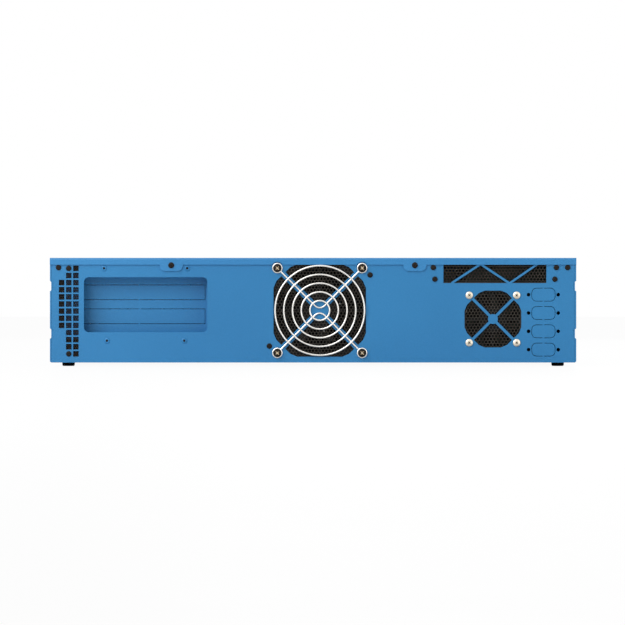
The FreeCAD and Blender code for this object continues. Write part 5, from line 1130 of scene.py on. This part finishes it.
def drives():
    """The two drives: a machined and painted case with a raised lid, screws and the board below."""
    for number in (1, 2):
        low, high = corners(f"drive_{number}")
        case = brick((low.x, low.y, low.z + 1.4), (high.x, high.y, high.z - 0.6), "aluminium", 0.8)
        lid = block(at(low.x + 1.2, low.y + 2, high.z - 0.8), at(high.x - 1.2, high.y - 2, high.z - 0.1))
        pulled(lid, lambda spot, way: way.z > 0.9, (0, 0, 0.1), (0.94, 0.95, 1))
        board = brick((low.x + 2, low.y + 1, low.z), (high.x - 2, low.y + 48, low.z + 1.5), "solder_mask", 0.1, 1)
        heads = heads_at((low.x + 4, high.x - 4), (low.y + 5, high.y - 5), high.z,
                         [(1.5, -0.4), (1.5, 0.0), (0.7, 0.0), (0.6, -0.3), (0.02, -0.3)], "black_zinc", 16)
        finished(join(case, paint(lid, "tinned"), board, *heads), f"drive_case_{number}", f"tray_{number}",
                 f"drive_{number}", slot="aluminium")


def air_hood():
    """The air duct, moulded in black with stiffening ribs over its top."""
    duct = paint(eased("air_duct", 0.4), "black_plastic")
    low, high = corners("air_duct")
    rib = brick((low.x + 3, low.y + 12, high.z - 0.2), (high.x - 3, low.y + 13.2, high.z + 0.8), "black_plastic", 0.3)
    rows_of(rib, (9, (0, 18, 0)))
    finished(join(duct, rib), "air_duct_hood", "case", "air_duct", slot="black_plastic")


def supply_tops():
    """The supplies' folded lids: a row of vents drawn as near-black strips of painted shade, and four screws."""
    for number in (1, 2):
        low, high = corners(f"psu_housing_{number}")
        heads = heads_at((low.x + 5, high.x - 5), (low.y + 14, high.y - 14), high.z,
                         [(2.2, -0.3), (2.1, 0.05), (1.2, 0.12), (1.0, -0.1), (0.02, -0.1)], "nickel")
        # The vents are not holes: near-black strips on the lid, painted shade where the slots would show the dark
        # inside.
        slot = brick((low.x + 14, low.y + 20, high.z - 0.3), (low.x + 17, low.y + 46, high.z + 0.04), "fan_plastic")
        rows_of(slot, (8, (6.1, 0, 0)))
        finished(join(*heads, slot), f"supply_lid_vents_{number}", f"supply_{number}", slot="galvanised_steel")


# ---------------------------------------------------------------- studio

def studio():
    """A pale floor, soft lamps and a white surround, with the camera straight behind the object."""
    floor = start("plane", size=60)
    floor.name = "studio_floor"
    material, place = blank_material("pale_studio_floor")
    tone = spread(material, noise(material, place, 25, 2.0), 0.3, 0.4)
    matt = node(material, "BsdfPrincipled", {"Base Color": linear("F0F0F0"), "Roughness": tone})
    glow = node(material, "Emission", {"Color": linear("FFFFFF"), "Strength": 1.0})
    path = node(material, "LightPath")
    share = node(material, "Math", {0: path.outputs["Is Camera Ray"], 1: 0.95}, operation="MULTIPLY")
    seen = node(material, "MixShader", {0: share.outputs[0], 1: matt.outputs[0], 2: glow.outputs[0]})
    node(material, "OutputMaterial", {"Surface": seen.outputs[0]})
    floor.data.materials.append(material)

    world = bpy.data.worlds.new("white_surround")
    bpy.context.scene.world = world
    world.use_nodes = True
    world.node_tree.nodes.clear()
    path = node(world, "LightPath")
    plain = node(world, "Math", {0: path.outputs["Is Camera Ray"], 1: path.outputs["Is Glossy Ray"]},
                 operation="MAXIMUM")
    level = spread(world, plain.outputs[0], 0.16, 1.0)
    light = node(world, "Background", {"Color": linear("FFFFFF"), "Strength": level})
    node(world, "OutputWorld", {"Surface": light.outputs[0]})

    middle = Vector((0, 0, 0.045))
    for name, place, size, watts in (
        ("key_softbox", (-0.9, -1.4, 1.0), 1.35, 20.0), ("fill_softbox", (1.2, -1.5, 0.5), 1.0, 4.0),
        ("top_softbox", (0.0, 0.0, 1.7), 2.2, 9.0), ("front_softbox", (0.5, 1.9, 1.1), 1.6, 11.0),
    ):
        clear()
        bpy.ops.object.light_add(type="AREA", location=place)
        lamp = bpy.context.object
        lamp.name = name
        lamp.data.size, lamp.data.energy = size, watts
        lamp.rotation_euler = (middle - Vector(place)).to_track_quat("-Z", "Y").to_euler()

    # The lens fits the photo's width at the rear wall
    away, wide, sensor = 2.5, 0.5272, 36
    clear()
    bpy.ops.object.camera_add(location=(-0.5 * MM, REAR - away, 45.5 * MM), rotation=TO_REAR)
    camera = bpy.context.object
    camera.data.sensor_width, camera.data.lens = sensor, sensor * away / wide
    bpy.context.scene.camera = camera
    bpy.context.scene.view_settings.view_transform = "Standard"


def carried_over_nodes():
    """Gives each CAD node that stays visible the real finish of its material slot, except the cover, whose coat is
    painted a shade lighter as painted light, and the fan frames, which get their matt plastic.
    """
    own = {"top_cover": "cover_coat_painted_lighter", "main_fan_frame": "fan_plastic", "small_fan_frame": "fan_plastic"}
    for name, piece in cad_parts.items():
        for place in piece.material_slots:
            slot = place.material.name.split(".")[0]
            place.material = FINISH[own.get(name) or FINISH_OF_SLOT.get(slot, slot)]


carried_over_nodes()
rear_meshes()
wire_guard()
rear_screws()
blind_rivets()
cover_hem()
vent_brace()
feet()
supplies()
network_sockets()
serial_sockets()
video_socket()
socket_shield()
drive_fronts()
switches_and_lamps()
fan_rotor("main_fan_rotor", "main_fan_blades", "main_rotor", 16, 7)
fan_rotor("small_fan_rotor", "small_fan_blades", "small_rotor", 12, 7)
main_board_parts()
memory_parts()
processor_cooler()
graphics_card()
risers()
intake_filter()
drives()
air_hood()
supply_tops()
studio()
